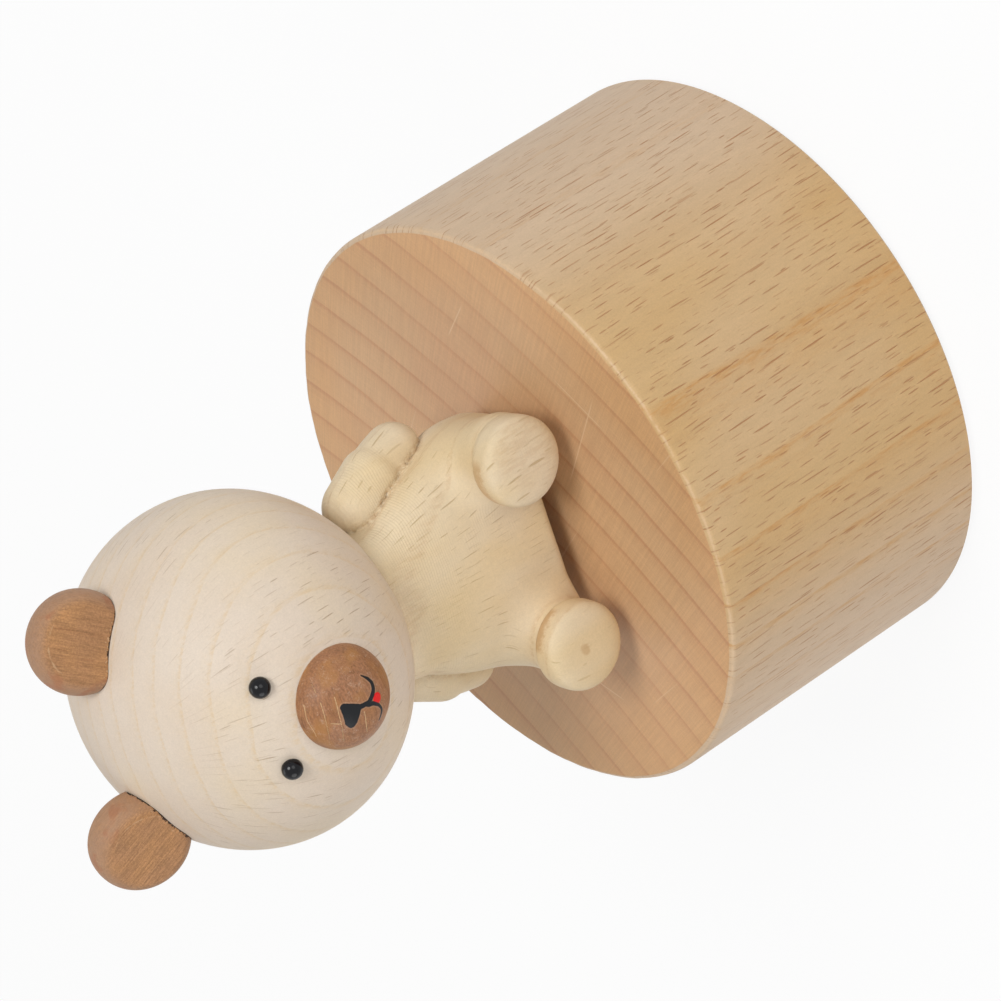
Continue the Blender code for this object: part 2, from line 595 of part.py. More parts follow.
def make_spring_housing(mats):
    """The pressed cup that holds the mainspring, hung from the plate's posts by three ears."""
    inner = HOUSING_RADIUS - HOUSING_WALL
    hole = ARBOR_RADIUS + RUN_GAP
    profile = [(hole, HOUSING_BOTTOM), (HOUSING_RADIUS, HOUSING_BOTTOM), (HOUSING_RADIUS, HOUSING_TOP),
               (inner, HOUSING_TOP), (inner, HOUSING_BOTTOM + HOUSING_WALL), (hole, HOUSING_BOTTOM + HOUSING_WALL)]
    cup = place("spring_housing", turned("spring_housing", profile, MEDIUM), mats["steel"])
    half = HOUSING_EAR_WIDTH / 2.0
    for number in range(HOUSING_EARS):
        angle = HOUSING_EAR_TURN + 2.0 * math.pi * number / HOUSING_EARS
        outline = [(inner + HOUSING_WALL / 2.0, half), (inner + HOUSING_WALL / 2.0, -half)]
        for step in range(7):
            around = math.radians(-90.0 + 30.0 * step)
            outline.append((HOUSING_EAR_RADIUS + half * math.cos(around), half * math.sin(around)))
        ear = prism("ear", outline, HOUSING_TOP - HOUSING_WALL, HOUSING_TOP)
        boolean(cup, guide(ear, None, (0.0, 0.0, 0.0), (0.0, 0.0, angle)), "UNION")
        spot = (HOUSING_EAR_RADIUS * math.cos(angle), HOUSING_EAR_RADIUS * math.sin(angle),
                HOUSING_TOP - HOUSING_WALL - SMALL_GAP)
        screw(f"housing_screw_{number + 1}", HOUSING_SCREW_SHANK, HOUSING_SCREW_HEAD, HOUSING_SCREW_LENGTH,
              SCREW_HEAD_HEIGHT, mats["steel"], None, spot, (0.0, 0.0, 1.0))
        bore = rod("pilot", HOUSING_SCREW_SHANK + SEAT_GAP, -SEAT_GAP, HOUSING_SCREW_LENGTH + SEAT_GAP, TINY)
        boolean(cup, guide(bore, None, spot))
        boolean(bpy.data.objects["bedplate"], guide(bore, None, spot))
    spring = spiral_strip("mainspring", ARBOR_RADIUS + 2.0 * RUN_GAP + MAINSPRING_THICK / 2.0,
                          inner - SEAT_GAP - MAINSPRING_THICK / 2.0, MAINSPRING_TURNS, MAINSPRING_THICK,
                          HOUSING_BOTTOM + HOUSING_WALL + SEAT_GAP, HOUSING_TOP - 2.0 * SEAT_GAP, 18)
    place("mainspring", spring, mats["steel"])


def make_comb(mats):
    """The steel comb: tuned teeth cut from one plate, on two screws."""
    pitch = CYLINDER_LENGTH / COMB_TEETH
    slot = pitch * COMB_SLOT_SHARE
    outline = [(CYLINDER_X, COMB_BACK_Y), (CYLINDER_X + CYLINDER_LENGTH, COMB_BACK_Y),
               (CYLINDER_X + CYLINDER_LENGTH, COMB_ROOT_Y)]
    for tooth in reversed(range(COMB_TEETH)):
        start = CYLINDER_X + tooth * pitch + slot / 2.0
        root = COMB_ROOT_Y - 0.3 * COMB_LAND * tooth / COMB_TEETH
        end = start + pitch - slot
        outline += [(end, root), (end, COMB_TIP_Y), (start, COMB_TIP_Y), (start, root)]
    outline.append((CYLINDER_X, COMB_ROOT_Y))
    comb = place("comb", prism("comb", outline, COMB_BOTTOM, COMB_TOP), mats["steel"])
    plate = bpy.data.objects["bedplate"]
    for number, share in enumerate((0.22, 0.78)):
        spot = (CYLINDER_X + share * CYLINDER_LENGTH, COMB_BACK_Y + 0.36 * COMB_LAND, COMB_BOTTOM - SMALL_GAP)
        screw(f"comb_screw_{number + 1}", COMB_SCREW_SHANK, COMB_SCREW_HEAD, COMB_LAND, SCREW_HEAD_HEIGHT,
              mats["steel"], None, spot, (0.0, 0.0, 1.0))
        bore = rod("pilot", COMB_SCREW_SHANK + SMALL_GAP, -SEAT_GAP, COMB_LAND + SEAT_GAP, TINY)
        boolean(comb, guide(bore, None, spot))
        boolean(plate, guide(bore, None, spot))


def make_cylinder_group(mats):
    """The pinned music cylinder, its axle, the pinion that the great wheel drives and the gear at its far end."""
    axis = empty("cylinder_axis", (0.0, 0.0, AXLE_LEVEL))
    turn = (0.0, math.pi / 2.0, 0.0)
    axle = rod("cylinder_axle", AXLE_RADIUS, PINION_X - SEAT_GAP, OUTER_LUG_X + OUTER_LUG_THICK + SEAT_GAP)
    place("cylinder_axle", axle, mats["steel"], axis, (0.0, 0.0, 0.0), turn)
    bore = AXLE_RADIUS + SMALL_GAP
    gear("cylinder_pinion", PINION_TEETH, CROWN_MODULE, math.pi, PINION_FACE, bore, mats["steel"], axis,
         (PINION_X, 0.0, 0.0), turn)
    shell = rod("music_cylinder", CYLINDER_RADIUS, 0.0, CYLINDER_LENGTH, MEDIUM, bore)
    drum = place("music_cylinder", shell, mats["brass"], axis, (CYLINDER_X, 0.0, 0.0), turn)
    pins = bmesh.new()
    for row in range(PIN_ROWS):
        along = CYLINDER_LENGTH * (row + 0.5) / PIN_ROWS
        for pin in range(PINS_PER_ROW):
            # the golden angle spreads the tune's pins evenly round the cylinder
            angle = (row * PINS_PER_ROW + pin) * math.radians(137.5)
            foot = CYLINDER_RADIUS - PIN_HEIGHT
            tip = CYLINDER_RADIUS + PIN_HEIGHT
            out = Vector((math.cos(angle), math.sin(angle), 0.0))
            side = Vector((-math.sin(angle), math.cos(angle), 0.0))
            up = Vector((0.0, 0.0, 1.0))
            corners = []
            for reach in (foot, tip):
                for a, b in ((-1, -1), (1, -1), (1, 1), (-1, 1)):
                    corner = out * reach + side * a * PIN_RADIUS + up * (along + b * PIN_RADIUS)
                    corners.append(pins.verts.new(corner))
            for face in ((3, 2, 1, 0), (4, 5, 6, 7), (0, 1, 5, 4), (1, 2, 6, 5), (2, 3, 7, 6), (3, 0, 4, 7)):
                pins.faces.new([corners[index] for index in face])
    boolean(drum, guide(finish_mesh(pins, "pins", False), axis, (CYLINDER_X, 0.0, 0.0), turn), "UNION")
    gear("cylinder_end_gear", END_GEAR_TEETH, SPUR_MODULE, math.pi / 2.0, SPUR_FACE, bore, mats["brass"], axis,
         (END_GEAR_X, 0.0, 0.0), turn)


def worm_mesh(name):
    """A screw thread on a root cylinder: the radius rises in a rounded ridge along a right-handed helix."""
    pitch = math.pi * WORM_MODULE
    ridge = WORM_MODULE * TOOTH_REACH
    root = WORM_RADIUS - WORM_MODULE * 1.1
    columns = COARSE
    rows = int(round(WORM_LENGTH / pitch * 8.0))
    shape = bmesh.new()
    rings = []
    for row in range(rows + 1):
        height = -WORM_LENGTH / 2.0 + WORM_LENGTH * row / rows
        fade = min(1.0, 4.0 * min(row, rows - row) / rows)
        ring = []
        for column in range(columns):
            angle = 2.0 * math.pi * column / columns
            # the ridge passes the wheel's side, at -Y, half a pitch from the wheel's nearest teeth
            share = (height / pitch - (angle + math.pi / 2.0) / (2.0 * math.pi)) % 1.0
            off = min(share, 1.0 - share)
            rise = max(0.0, 1.0 - off / 0.24) * (WORM_RADIUS + ridge - root) * fade
            radius = root + rise
            ring.append(shape.verts.new((radius * math.cos(angle), radius * math.sin(angle), height)))
        rings.append(ring)
    for lower, upper in zip(rings, rings[1:]):
        for column in range(columns):
            beside = (column + 1) % columns
            shape.faces.new((lower[column], lower[beside], upper[beside], upper[column]))
    shape.faces.new(rings[0][::-1])
    shape.faces.new(rings[-1])
    return finish_mesh(shape, name, True)


def make_governor(mats):
    """The speed governor: frame, wheel shaft, worm and air brake."""
    turn = (0.0, math.pi / 2.0, 0.0)
    side_low = GOV_Y - FRAME_SIDE
    side_high = WORM_Y + FRAME_SIDE
    base = WORM_SHAFT_BOTTOM - SEAT_GAP
    frame = place("governor_frame", block("governor_frame", (FRAME_X - FRAME_THICK, side_low, base),
                                          (FRAME_X, side_high, FRAME_FOOT_TOP)), mats["brass"])
    foot_end = WORM_X + FRAME_SIDE
    foot = block("foot", (FRAME_X - FRAME_THICK / 2.0, side_low, FRAME_FOOT_TOP - FRAME_THICK),
                 (foot_end, side_high, FRAME_FOOT_TOP))
    boolean(frame, guide(foot), "UNION")
    arm = block("arm", (FRAME_X - FRAME_THICK / 2.0, WORM_Y - FRAME_SIDE, base),
                (foot_end, side_high, base + FRAME_THICK))
    boolean(frame, guide(arm), "UNION")
    pivot = rod("pivot", WORM_SHAFT_RADIUS + SEAT_GAP, base - FRAME_THICK, FRAME_FOOT_TOP + FRAME_THICK, TINY)
    boolean(frame, guide(pivot, None, (WORM_X, WORM_Y, 0.0)))
    bearing = rod("bearing", GOV_SHAFT_RADIUS + SEAT_GAP, -2.0 * FRAME_THICK, FRAME_THICK, TINY)
    boolean(frame, guide(bearing, None, (FRAME_X, GOV_Y, AXLE_LEVEL), turn))
    spot = (WORM_X - 0.5 * FRAME_STANDOFF, GOV_Y, FRAME_FOOT_TOP - FRAME_THICK - SMALL_GAP)
    screw("governor_screw", GOV_SCREW_SHANK, GOV_SCREW_HEAD, PLATE_THICK, SCREW_HEAD_HEIGHT, mats["steel"], None,
          spot, (0.0, 0.0, 1.0))
    bore = rod("pilot", GOV_SCREW_SHANK + SMALL_GAP, -SEAT_GAP, PLATE_THICK + SEAT_GAP, TINY)
    boolean(frame, guide(bore, None, spot))
    boolean(bpy.data.objects["bedplate"], guide(bore, None, spot))

    axis = empty("governor_wheel_axis", (0.0, GOV_Y, AXLE_LEVEL))
    shaft = rod("governor_shaft", GOV_SHAFT_RADIUS, FRAME_X - FRAME_THICK - SEAT_GAP,
                OUTER_LUG_X + OUTER_LUG_THICK + SEAT_GAP, TINY)
    place("governor_shaft", shaft, mats["steel"], axis, (0.0, 0.0, 0.0), turn)
    gear("governor_pinion", GOV_PINION_TEETH, SPUR_MODULE, 1.5 * math.pi + math.pi / GOV_PINION_TEETH, SPUR_FACE,
         GOV_SHAFT_RADIUS + SMALL_GAP, mats["steel"], axis, (END_GEAR_X, 0.0, 0.0), turn)
    gear("worm_wheel", WORM_WHEEL_TEETH, WORM_MODULE, math.pi / 2.0 + math.pi / WORM_WHEEL_TEETH, WORM_WHEEL_FACE,
         GOV_SHAFT_RADIUS + SMALL_GAP, mats["nylon"], axis, (WORM_X - WORM_WHEEL_FACE / 2.0, 0.0, 0.0), turn)

    worm_axis = empty("worm_axis", (WORM_X, WORM_Y, 0.0))
    worm = place("worm_shaft", rod("worm_shaft", WORM_SHAFT_RADIUS, WORM_SHAFT_BOTTOM, WORM_SHAFT_TOP, TINY),
                 mats["steel"], worm_axis)
    boolean(worm, guide(worm_mesh("worm_thread"), worm_axis, (0.0, 0.0, AXLE_LEVEL)), "UNION")
    hub = rod("governor_fan", FAN_HUB, FAN_LEVEL, FAN_LEVEL + FAN_HEIGHT, TINY)
    fan = place("governor_fan", hub, mats["brass"], worm_axis)
    blades = block("blades", (-FAN_RADIUS, -FAN_THICK / 2.0, FAN_LEVEL),
                   (FAN_RADIUS, FAN_THICK / 2.0, FAN_LEVEL + FAN_HEIGHT))
    boolean(fan, guide(blades, worm_axis), "UNION")
    bore = rod("bore", WORM_SHAFT_RADIUS + SMALL_GAP, FAN_LEVEL - FAN_HEIGHT, FAN_LEVEL + 2.0 * FAN_HEIGHT, TINY)
    boolean(fan, guide(bore, worm_axis))


def make_great_wheel(mats, figure):
    """The crown wheel on the arbor, with teeth that point down onto the cylinder's pinion."""
    outer = CROWN_RADIUS + CROWN_FACE / 2.0
    bore = ARBOR_RADIUS + SMALL_GAP
    wheel = place("great_wheel", rod("great_wheel", outer, CROWN_ROOT_LEVEL, CROWN_TOP, CROWN_TEETH, bore),
                  mats["brass"], figure)
    step = 2.0 * math.pi / CROWN_TEETH
    pitch = 2.0 * math.pi * CROWN_RADIUS / CROWN_TEETH
    half_root = pitch * 0.34
    half_tip = pitch * (0.25 - TOOTH_BACKLASH / 4.0) * 0.5
    tip_level = CROWN_PITCH_LEVEL - CROWN_MODULE * TOOTH_REACH
    overlap = CROWN_DISC / 2.0
    teeth = bmesh.new()
    for tooth in range(CROWN_TEETH):
        angle = (tooth + 0.5) * step
        out = Vector((math.cos(angle), math.sin(angle), 0.0))
        side = Vector((-math.sin(angle), math.cos(angle), 0.0))
        corners = []
        for level, half in ((tip_level, half_tip), (CROWN_ROOT_LEVEL, half_root),
                            (CROWN_ROOT_LEVEL + overlap, half_root)):
            for radius in (CROWN_RADIUS - CROWN_FACE / 2.0, outer - SMALL_GAP):
                for sign in (-1.0, 1.0):
                    corner = out * radius + side * (sign * half * radius / CROWN_RADIUS)
                    corners.append(teeth.verts.new(corner + Vector((0.0, 0.0, level))))
        faces = [(0, 2, 3, 1), (8, 9, 11, 10)]
        for low in (0, 4):
            high = low + 4
            faces += [(low, low + 1, high + 1, high), (low + 1, low + 3, high + 3, high + 1),
                      (low + 3, low + 2, high + 2, high + 3), (low + 2, low, high, high + 2)]
        for face in faces:
            teeth.faces.new([corners[index] for index in face])
    boolean(wheel, guide(finish_mesh(teeth, "teeth", False), figure), "UNION")


def make_arbor(mats, figure):
    """The winding arbor, its retaining ring, the clutch spring and the insert that grips it in the bear."""
    groove_low = HOUSING_BOTTOM - SEAT_GAP - RING_THICK - SMALL_GAP
    groove_high = HOUSING_BOTTOM - SEAT_GAP + SMALL_GAP
    core = ARBOR_RADIUS - ARBOR_GROOVE
    profile = [(0.0, ARBOR_BOTTOM), (ARBOR_RADIUS, ARBOR_BOTTOM), (ARBOR_RADIUS, groove_low), (core, groove_low),
               (core, groove_high), (ARBOR_RADIUS, groove_high), (ARBOR_RADIUS, ARBOR_TOP - SEAT_GAP),
               (core, ARBOR_TOP), (0.0, ARBOR_TOP)]
    place("winding_arbor", turned("winding_arbor", profile, MEDIUM), mats["steel"], figure)
    ring = rod("retaining_ring", core + RING_WIDTH, groove_low + SMALL_GAP, groove_low + SMALL_GAP + RING_THICK,
               MEDIUM, core + SMALL_GAP)
    place("retaining_ring", ring, mats["steel"], figure)
    clutch_radius = ARBOR_RADIUS + SMALL_GAP + CLUTCH_WIRE
    place("clutch_spring", coil("clutch_spring", clutch_radius, CLUTCH_WIRE, CLUTCH_PITCH, CLUTCH_TURNS,
                                CROWN_TOP + SMALL_GAP, 14, 6), mats["steel"], figure)
    inner = ARBOR_RADIUS + SEAT_GAP
    insert = rod("drive_insert", inner + INSERT_WALL, FIGURE_BASE + SEAT_GAP, ARBOR_TOP - SEAT_GAP, MEDIUM, inner)
    place("drive_insert", insert, mats["brass"], figure)


def smallest(first, second, blend):
    """The smooth minimum of two distance fields."""
    share = np.clip(0.5 + 0.5 * (second - first) / blend, 0.0, 1.0)
    return second * (1.0 - share) + first * share - blend * share * (1.0 - share)


def tapered_limb(points, start, end, start_radius, end_radius):
    """Distance to a round limb whose radius changes evenly from one end to the other."""
    start = np.array(start)
    along = np.array(end) - start
    share = np.clip((points - start) @ along / (along @ along), 0.0, 1.0)
    radius = start_radius + (end_radius - start_radius) * share
    return np.linalg.norm(points - start - share[:, None] * along, axis=1) - radius


def torso_distance(points):
    """Distance to the torso: rounded-square sections that narrow upwards, a crowned side and a rounded seat."""
    x = points[:, 0]
    y = points[:, 1] - BODY_CENTRE_Y
    z = points[:, 2]
    share = np.clip(z / BODY_TAPER_HEIGHT, -0.3, 1.3)
    inside = np.clip(share, 0.0, 1.0)
    half_width = BODY_HALF_WIDTH_LOW + (BODY_HALF_WIDTH_TOP - BODY_HALF_WIDTH_LOW) * share
    half_width = half_width + BODY_SIDE_CROWN * 4.0 * inside * (1.0 - inside)
    front = BODY_HALF_DEPTH_LOW + (BODY_HALF_DEPTH_TOP - BODY_HALF_DEPTH_LOW) * share
    half_depth = np.where(y > 0.0, BODY_BACK_DEPTH, front)
    power = np.where(y > 0.0, BODY_BACK_SQUARENESS, BODY_FRONT_SQUARENESS)
    spread = (np.abs(x) / half_width) ** power + (np.abs(y) / half_depth) ** power
    ratio = np.maximum(spread, 1e-9) ** (1.0 / power)
    reach = np.hypot(x, y)
    distance = np.where(ratio < 0.1, -0.8 * front, (ratio - 1.0) * reach / np.maximum(ratio, 1e-6))
    distance = -smallest(-distance, z, BODY_SEAT_ROUND)
    return -smallest(-distance, BODY_TOP_HEIGHT - z, BODY_SEAT_ROUND / 2.0)


def foot_distance(points):
    """Distance to a foot: a thick disc with rounded edges whose sole looks forward, a little out and up."""
    normal = np.array((math.sin(FOOT_SPLAY) * math.cos(FOOT_TILT), -math.cos(FOOT_SPLAY) * math.cos(FOOT_TILT),
                       math.sin(FOOT_TILT)))
    centre = np.array(FOOT) - normal * FOOT_HALF_THICK
    offset = points - centre
    along = offset @ normal
    across = np.linalg.norm(offset - along[:, None] * normal, axis=1)
    a = across - (FOOT_RADIUS - FOOT_EDGE)
    b = np.abs(along) - (FOOT_HALF_THICK - FOOT_EDGE)
    return np.minimum(np.maximum(a, b), 0.0) + np.hypot(np.maximum(a, 0.0), np.maximum(b, 0.0)) - FOOT_EDGE


def body_distance(points):
    """Distance to the bear's body, above its own underside: torso, legs, feet and arms blended together."""
    side = points.copy()
    side[:, 0] = np.abs(side[:, 0])
    distance = torso_distance(points)
    ankle = (FOOT[0], FOOT[1] + 2.0 * FOOT_HALF_THICK, FOOT[2] - ANKLE_DROP)
    distance = smallest(distance, tapered_limb(side, HIP, ankle, HIP_RADIUS, ANKLE_RADIUS), BODY_BLEND)
    distance = smallest(distance, foot_distance(side), CREASE_BLEND)
    arm = smallest(tapered_limb(side, SHOULDER, ELBOW, SHOULDER_RADIUS, ELBOW_RADIUS),
                   tapered_limb(side, ELBOW, HAND, ELBOW_RADIUS, HAND_RADIUS), BODY_BLEND)
    return smallest(distance, arm, CREASE_BLEND)


def net_mesh(name, field, low, high, cell):
    """The surface where a distance field is zero: one corner in each grid cell that it crosses, at the mean of the
    crossings of the cell's edges, and a four-sided face round each grid edge that it crosses."""
    counts = [int(math.ceil((b - a) / cell)) + 1 for a, b in zip(low, high)]
    lines = [np.array([a + cell * step for step in range(count)]) for a, count in zip(low, counts)]
    grid = np.stack(np.meshgrid(*lines, indexing="ij"), axis=-1)
    values = field(grid.reshape(-1, 3)).reshape(counts)
    inside = values < 0.0
    cells = [count - 1 for count in counts]
    total = np.zeros((*cells, 3))
    crossings = np.zeros(cells)
    for axis in range(3):
        unit = np.eye(3, dtype=int)[axis]
        for one in (0, 1):
            for two in (0, 1):
                start = np.roll([0, one, two], axis)
                near = tuple(slice(i, i + n) for i, n in zip(start, cells))
                far = tuple(slice(i, i + n) for i, n in zip(start + unit, cells))
                split = inside[near] != inside[far]
                share = values[near] / np.where(split, values[near] - values[far], 1.0)
                total += np.where(split[..., None], start + share[..., None] * unit, 0.0)
                crossings += split
    crossed = np.argwhere(crossings > 0)
    number = np.full(cells, -1)
    number[tuple(crossed.T)] = np.arange(len(crossed))
    points = np.array(low) + cell * (crossed + (total / np.maximum(crossings, 1)[..., None])[tuple(crossed.T)])
    step = cell * 0.05
    for _ in range(2):
        value = field(points)
        slope = np.stack([(field(points + step * axis) - field(points - step * axis)) / (2.0 * step)
                          for axis in np.eye(3)], axis=-1)
        shift = slope * (value / np.maximum((slope ** 2).sum(axis=1), 0.25))[:, None]
        points = points - np.clip(shift, -0.25 * cell, 0.25 * cell)
    faces = []
    for axis in range(3):
        one = (axis + 1) % 3
        two = (axis + 2) % 3
        for edge in np.argwhere(np.diff(inside.astype(int), axis=axis) != 0):
            around = []
            for back_one, back_two in ((1, 1), (0, 1), (0, 0), (1, 0)):
                near = edge.copy()
                near[one] -= back_one
                near[two] -= back_two
                around.append(int(number[tuple(near)]))
            faces.append(around if inside[tuple(edge)] else around[::-1])
    mesh = bpy.data.meshes.new(name)
    mesh.from_pydata([tuple(point) for point in points], [], faces)
    mesh.shade_smooth()
    mesh.set_sharp_from_angle(angle=math.radians(60.0))
    return mesh


def spheroid(name, radius, half_height, segments, rings):
    """A turned spheroid about Z."""
    profile = []
    for step in range(rings + 1):
        angle = math.pi * step / rings
        profile.append((radius * math.sin(angle) if 0 < step < rings else 0.0, -half_height * math.cos(angle)))
    return turned(name, profile, segments)


def ear_mesh(name):
    """A thick disc about Z: flat face at the top, rounded rim and domed back."""
    edge = EAR_RADIUS - EAR_FLAT_RADIUS
    profile = [(0.0, -EAR_HALF_THICK)]
    for step in range(1, 6):
        angle = math.radians(18.0 * step)
        profile.append((EAR_RADIUS * math.sin(angle) ** 0.8, -EAR_HALF_THICK * math.cos(angle) ** 0.7))
    for step in range(1, 4):
        angle = math.radians(30.0 * step)
        profile.append((EAR_FLAT_RADIUS + edge * math.cos(angle), EAR_HALF_THICK * math.sin(angle)))
    profile.append((0.0, EAR_HALF_THICK))
    return turned(name, profile, MEDIUM)


def head_surface(direction):
    """Where a ray from the head's centre leaves its surface, with the outward normal there."""
    flatness = Vector((HEAD_RADIUS ** -2, HEAD_RADIUS ** -2, HEAD_HALF_HEIGHT ** -2))
    point = direction / math.sqrt((direction * direction).dot(flatness))
    return HEAD_CENTRE + point, (point * flatness).normalized()


def dowel(name, centre, direction, radius, length, finish, parent, owners, segments=COARSE):
    """A glued dowel centred on a seam, with its hole in both pieces."""
    turn = Vector((0.0, 0.0, 1.0)).rotation_difference(direction).to_euler()
    half = length / 2.0
    bevel = radius * 0.25
    profile = [(0.0, -half), (radius - bevel, -half), (radius, -half + bevel), (radius, half - bevel),
               (radius - bevel, half), (0.0, half)]
    place(name, turned(name, profile, segments), finish, parent, centre, turn)
    hole = rod("dowel_hole", radius + SEAT_GAP, -half - SEAT_GAP, half + SEAT_GAP, segments)
    for owner in owners:
        boolean(owner, guide(hole, parent, centre, turn))


def make_bear(mats, figure):
    """The bear: carved body, turned head, ears, muzzle and eyes, joined by glued dowels."""
    reach = SHOULDER[0] + 2.0 * FOOT_RADIUS
    low = (-reach - BODY_CELL / 2.0, FOOT[1] - FOOT_RADIUS, -BODY_CELL)
    high = (reach, BODY_BACK_DEPTH, BODY_TOP_HEIGHT + BODY_CELL)
    body = place("bear_body", net_mesh("bear_body", body_distance, low, high, BODY_CELL), mats["body"], figure,
                 (0.0, 0.0, FIGURE_BASE))
    ball = spheroid("bear_head", HEAD_RADIUS, HEAD_HALF_HEIGHT, 40, 20)
    head = place("bear_head", ball, mats["cream"], figure, HEAD_CENTRE)
    grown = spheroid("head_room", HEAD_RADIUS + SEAT_GAP, HEAD_HALF_HEIGHT + SEAT_GAP, 40, 20)
    boolean(body, guide(grown, figure, HEAD_CENTRE))
    insert_hole = rod("insert_hole", ARBOR_RADIUS + 2.0 * SEAT_GAP + INSERT_WALL, -SEAT_GAP,
                      ARBOR_GRIP + SEAT_GAP, MEDIUM)
    boolean(body, guide(insert_hole, figure, (0.0, 0.0, FIGURE_BASE)))
    neck = HEAD_CENTRE + Vector((0.0, -HEAD_Y, -HEAD_HALF_HEIGHT + NECK_DOWEL_RISE))
    dowel("neck_dowel", neck, Vector((0.0, 0.0, 1.0)), NECK_DOWEL_RADIUS, NECK_DOWEL_LENGTH, mats["ply"], figure,
          (body, head), MEDIUM)

    for side, sign in (("left", 1.0), ("right", -1.0)):
        out = Vector((sign * EAR_OUT + EAR_OFF_CENTRE, EAR_BACK, EAR_UP - sign * EAR_OFF_LEVEL)).normalized()
        seam, _ = head_surface(out)
        centre = seam + out * (EAR_PROUD - sign * EAR_OFF_PROUD)
        facing = (Vector((0.0, -1.0, 0.0)) - out * Vector((0.0, -1.0, 0.0)).dot(out)).normalized()
        facing = facing * math.cos(EAR_TILT) + out * math.sin(EAR_TILT)
        edge = out.cross(facing).normalized()
        turn = Matrix((edge, facing.cross(edge), facing)).transposed().to_euler()
        ear = place(f"ear_{side}", ear_mesh("ear"), mats["brown"], figure, centre, turn)
        boolean(ear, guide(grown, figure, HEAD_CENTRE))
        dowel(f"ear_dowel_{side}", seam + out * SMALL_GAP, out, DOWEL_RADIUS, EAR_DOWEL_LENGTH, mats["ply"],
              figure, (ear, head))

        forward = -math.sqrt(1.0 - (EYE_OUT / HEAD_RADIUS) ** 2 - (EYE_UP / HEAD_HALF_HEIGHT) ** 2) * HEAD_RADIUS
        spot, normal = head_surface(Vector((sign * EYE_OUT, forward, EYE_UP)))
        eye_turn = Vector((0.0, 0.0, 1.0)).rotation_difference(normal).to_euler()
        profile = [(0.0, -EYE_STEM_LENGTH), (EYE_STEM_RADIUS, -EYE_STEM_LENGTH + EYE_STEM_RADIUS),
                   (EYE_STEM_RADIUS, SMALL_GAP)]
        for step in range(6):
            angle = math.radians(18.0 * step)
            height = SMALL_GAP + EYE_RADIUS * math.sin(angle)
            profile.append((EYE_RADIUS * math.cos(angle) if step < 5 else 0.0, height))
        profile.append((0.0, SMALL_GAP + EYE_RADIUS))
        place(f"eye_{side}", turned("eye", profile, COARSE), mats["bead"], figure, spot, eye_turn)
        socket = rod("eye_hole", EYE_STEM_RADIUS + SEAT_GAP, -EYE_STEM_LENGTH - SEAT_GAP, EYE_RADIUS, TINY)
        boolean(head, guide(socket, figure, spot, eye_turn))

    forward = Vector((0.0, -1.0, 0.0))
    muzzle_centre = HEAD_CENTRE + Vector((0.0, MUZZLE_SINK - HEAD_RADIUS, MUZZLE_UP))
    quarter = (math.pi / 2.0, 0.0, 0.0)
    dome = spheroid("muzzle", MUZZLE_RADIUS, MUZZLE_HALF_DEPTH, MEDIUM, COARSE)
    muzzle = place("muzzle", dome, mats["brown"], figure, muzzle_centre, quarter)
    boolean(muzzle, guide(grown, figure, HEAD_CENTRE))
    seat = HEAD_CENTRE + Vector((0.0, MUZZLE_DOWEL_SINK - HEAD_RADIUS, MUZZLE_UP))
    dowel("muzzle_dowel", seat, forward, DOWEL_RADIUS, MUZZLE_DOWEL_LENGTH, mats["ply"], figure, (muzzle, head))


def main():
    """Build the whole part."""
    clear_scene()
    mats = wood_materials()
    drum = make_case(mats)
    make_plate(mats, drum)
    make_spring_housing(mats)
    make_comb(mats)
    make_cylinder_group(mats)
    make_governor(mats)
    figure = empty("figure_axis", (0.0, 0.0, 0.0))
    make_great_wheel(mats, figure)
    make_arbor(mats, figure)
    make_bear(mats, figure)


main()
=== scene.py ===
"""Looks of the turning bear music box: the beech case, the pale carved bear, its brown ears and muzzle, and
the clockwork underneath. Metres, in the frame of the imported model."""

import json
import logging
import math
from dataclasses import dataclass
from enum import Enum
from functools import reduce

import bpy
import numpy as np
from mathutils import Matrix, Vector


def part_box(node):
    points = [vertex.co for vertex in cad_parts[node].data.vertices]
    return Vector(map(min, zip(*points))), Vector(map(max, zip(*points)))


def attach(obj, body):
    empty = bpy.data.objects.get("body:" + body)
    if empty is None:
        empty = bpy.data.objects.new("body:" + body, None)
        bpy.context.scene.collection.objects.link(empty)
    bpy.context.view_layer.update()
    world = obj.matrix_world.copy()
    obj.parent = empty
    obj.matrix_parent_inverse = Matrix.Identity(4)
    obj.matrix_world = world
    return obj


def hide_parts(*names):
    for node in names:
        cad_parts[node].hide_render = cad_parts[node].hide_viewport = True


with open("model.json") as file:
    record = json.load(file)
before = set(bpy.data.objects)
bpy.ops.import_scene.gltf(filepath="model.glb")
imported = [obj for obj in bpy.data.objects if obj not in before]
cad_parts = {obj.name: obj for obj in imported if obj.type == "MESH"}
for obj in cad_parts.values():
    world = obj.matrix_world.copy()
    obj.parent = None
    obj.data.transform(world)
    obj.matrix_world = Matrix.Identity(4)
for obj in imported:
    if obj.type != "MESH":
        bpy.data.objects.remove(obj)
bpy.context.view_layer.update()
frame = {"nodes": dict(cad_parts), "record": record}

LOG = logging.getLogger("music_box")
MM = 0.001
TURN = 2.0 * math.pi
PORES = 5200.0
Array = np.ndarray
Mesh = bpy.types.Mesh
Material = bpy.types.Material
Colour = tuple[float, float, float]
Spot = tuple[float, float, float]
Path = tuple[tuple[float, ...], ...]
WHITE = (1.0, 1.0, 1.0)
FORWARD = np.array([0.0, -1.0, 0.0])


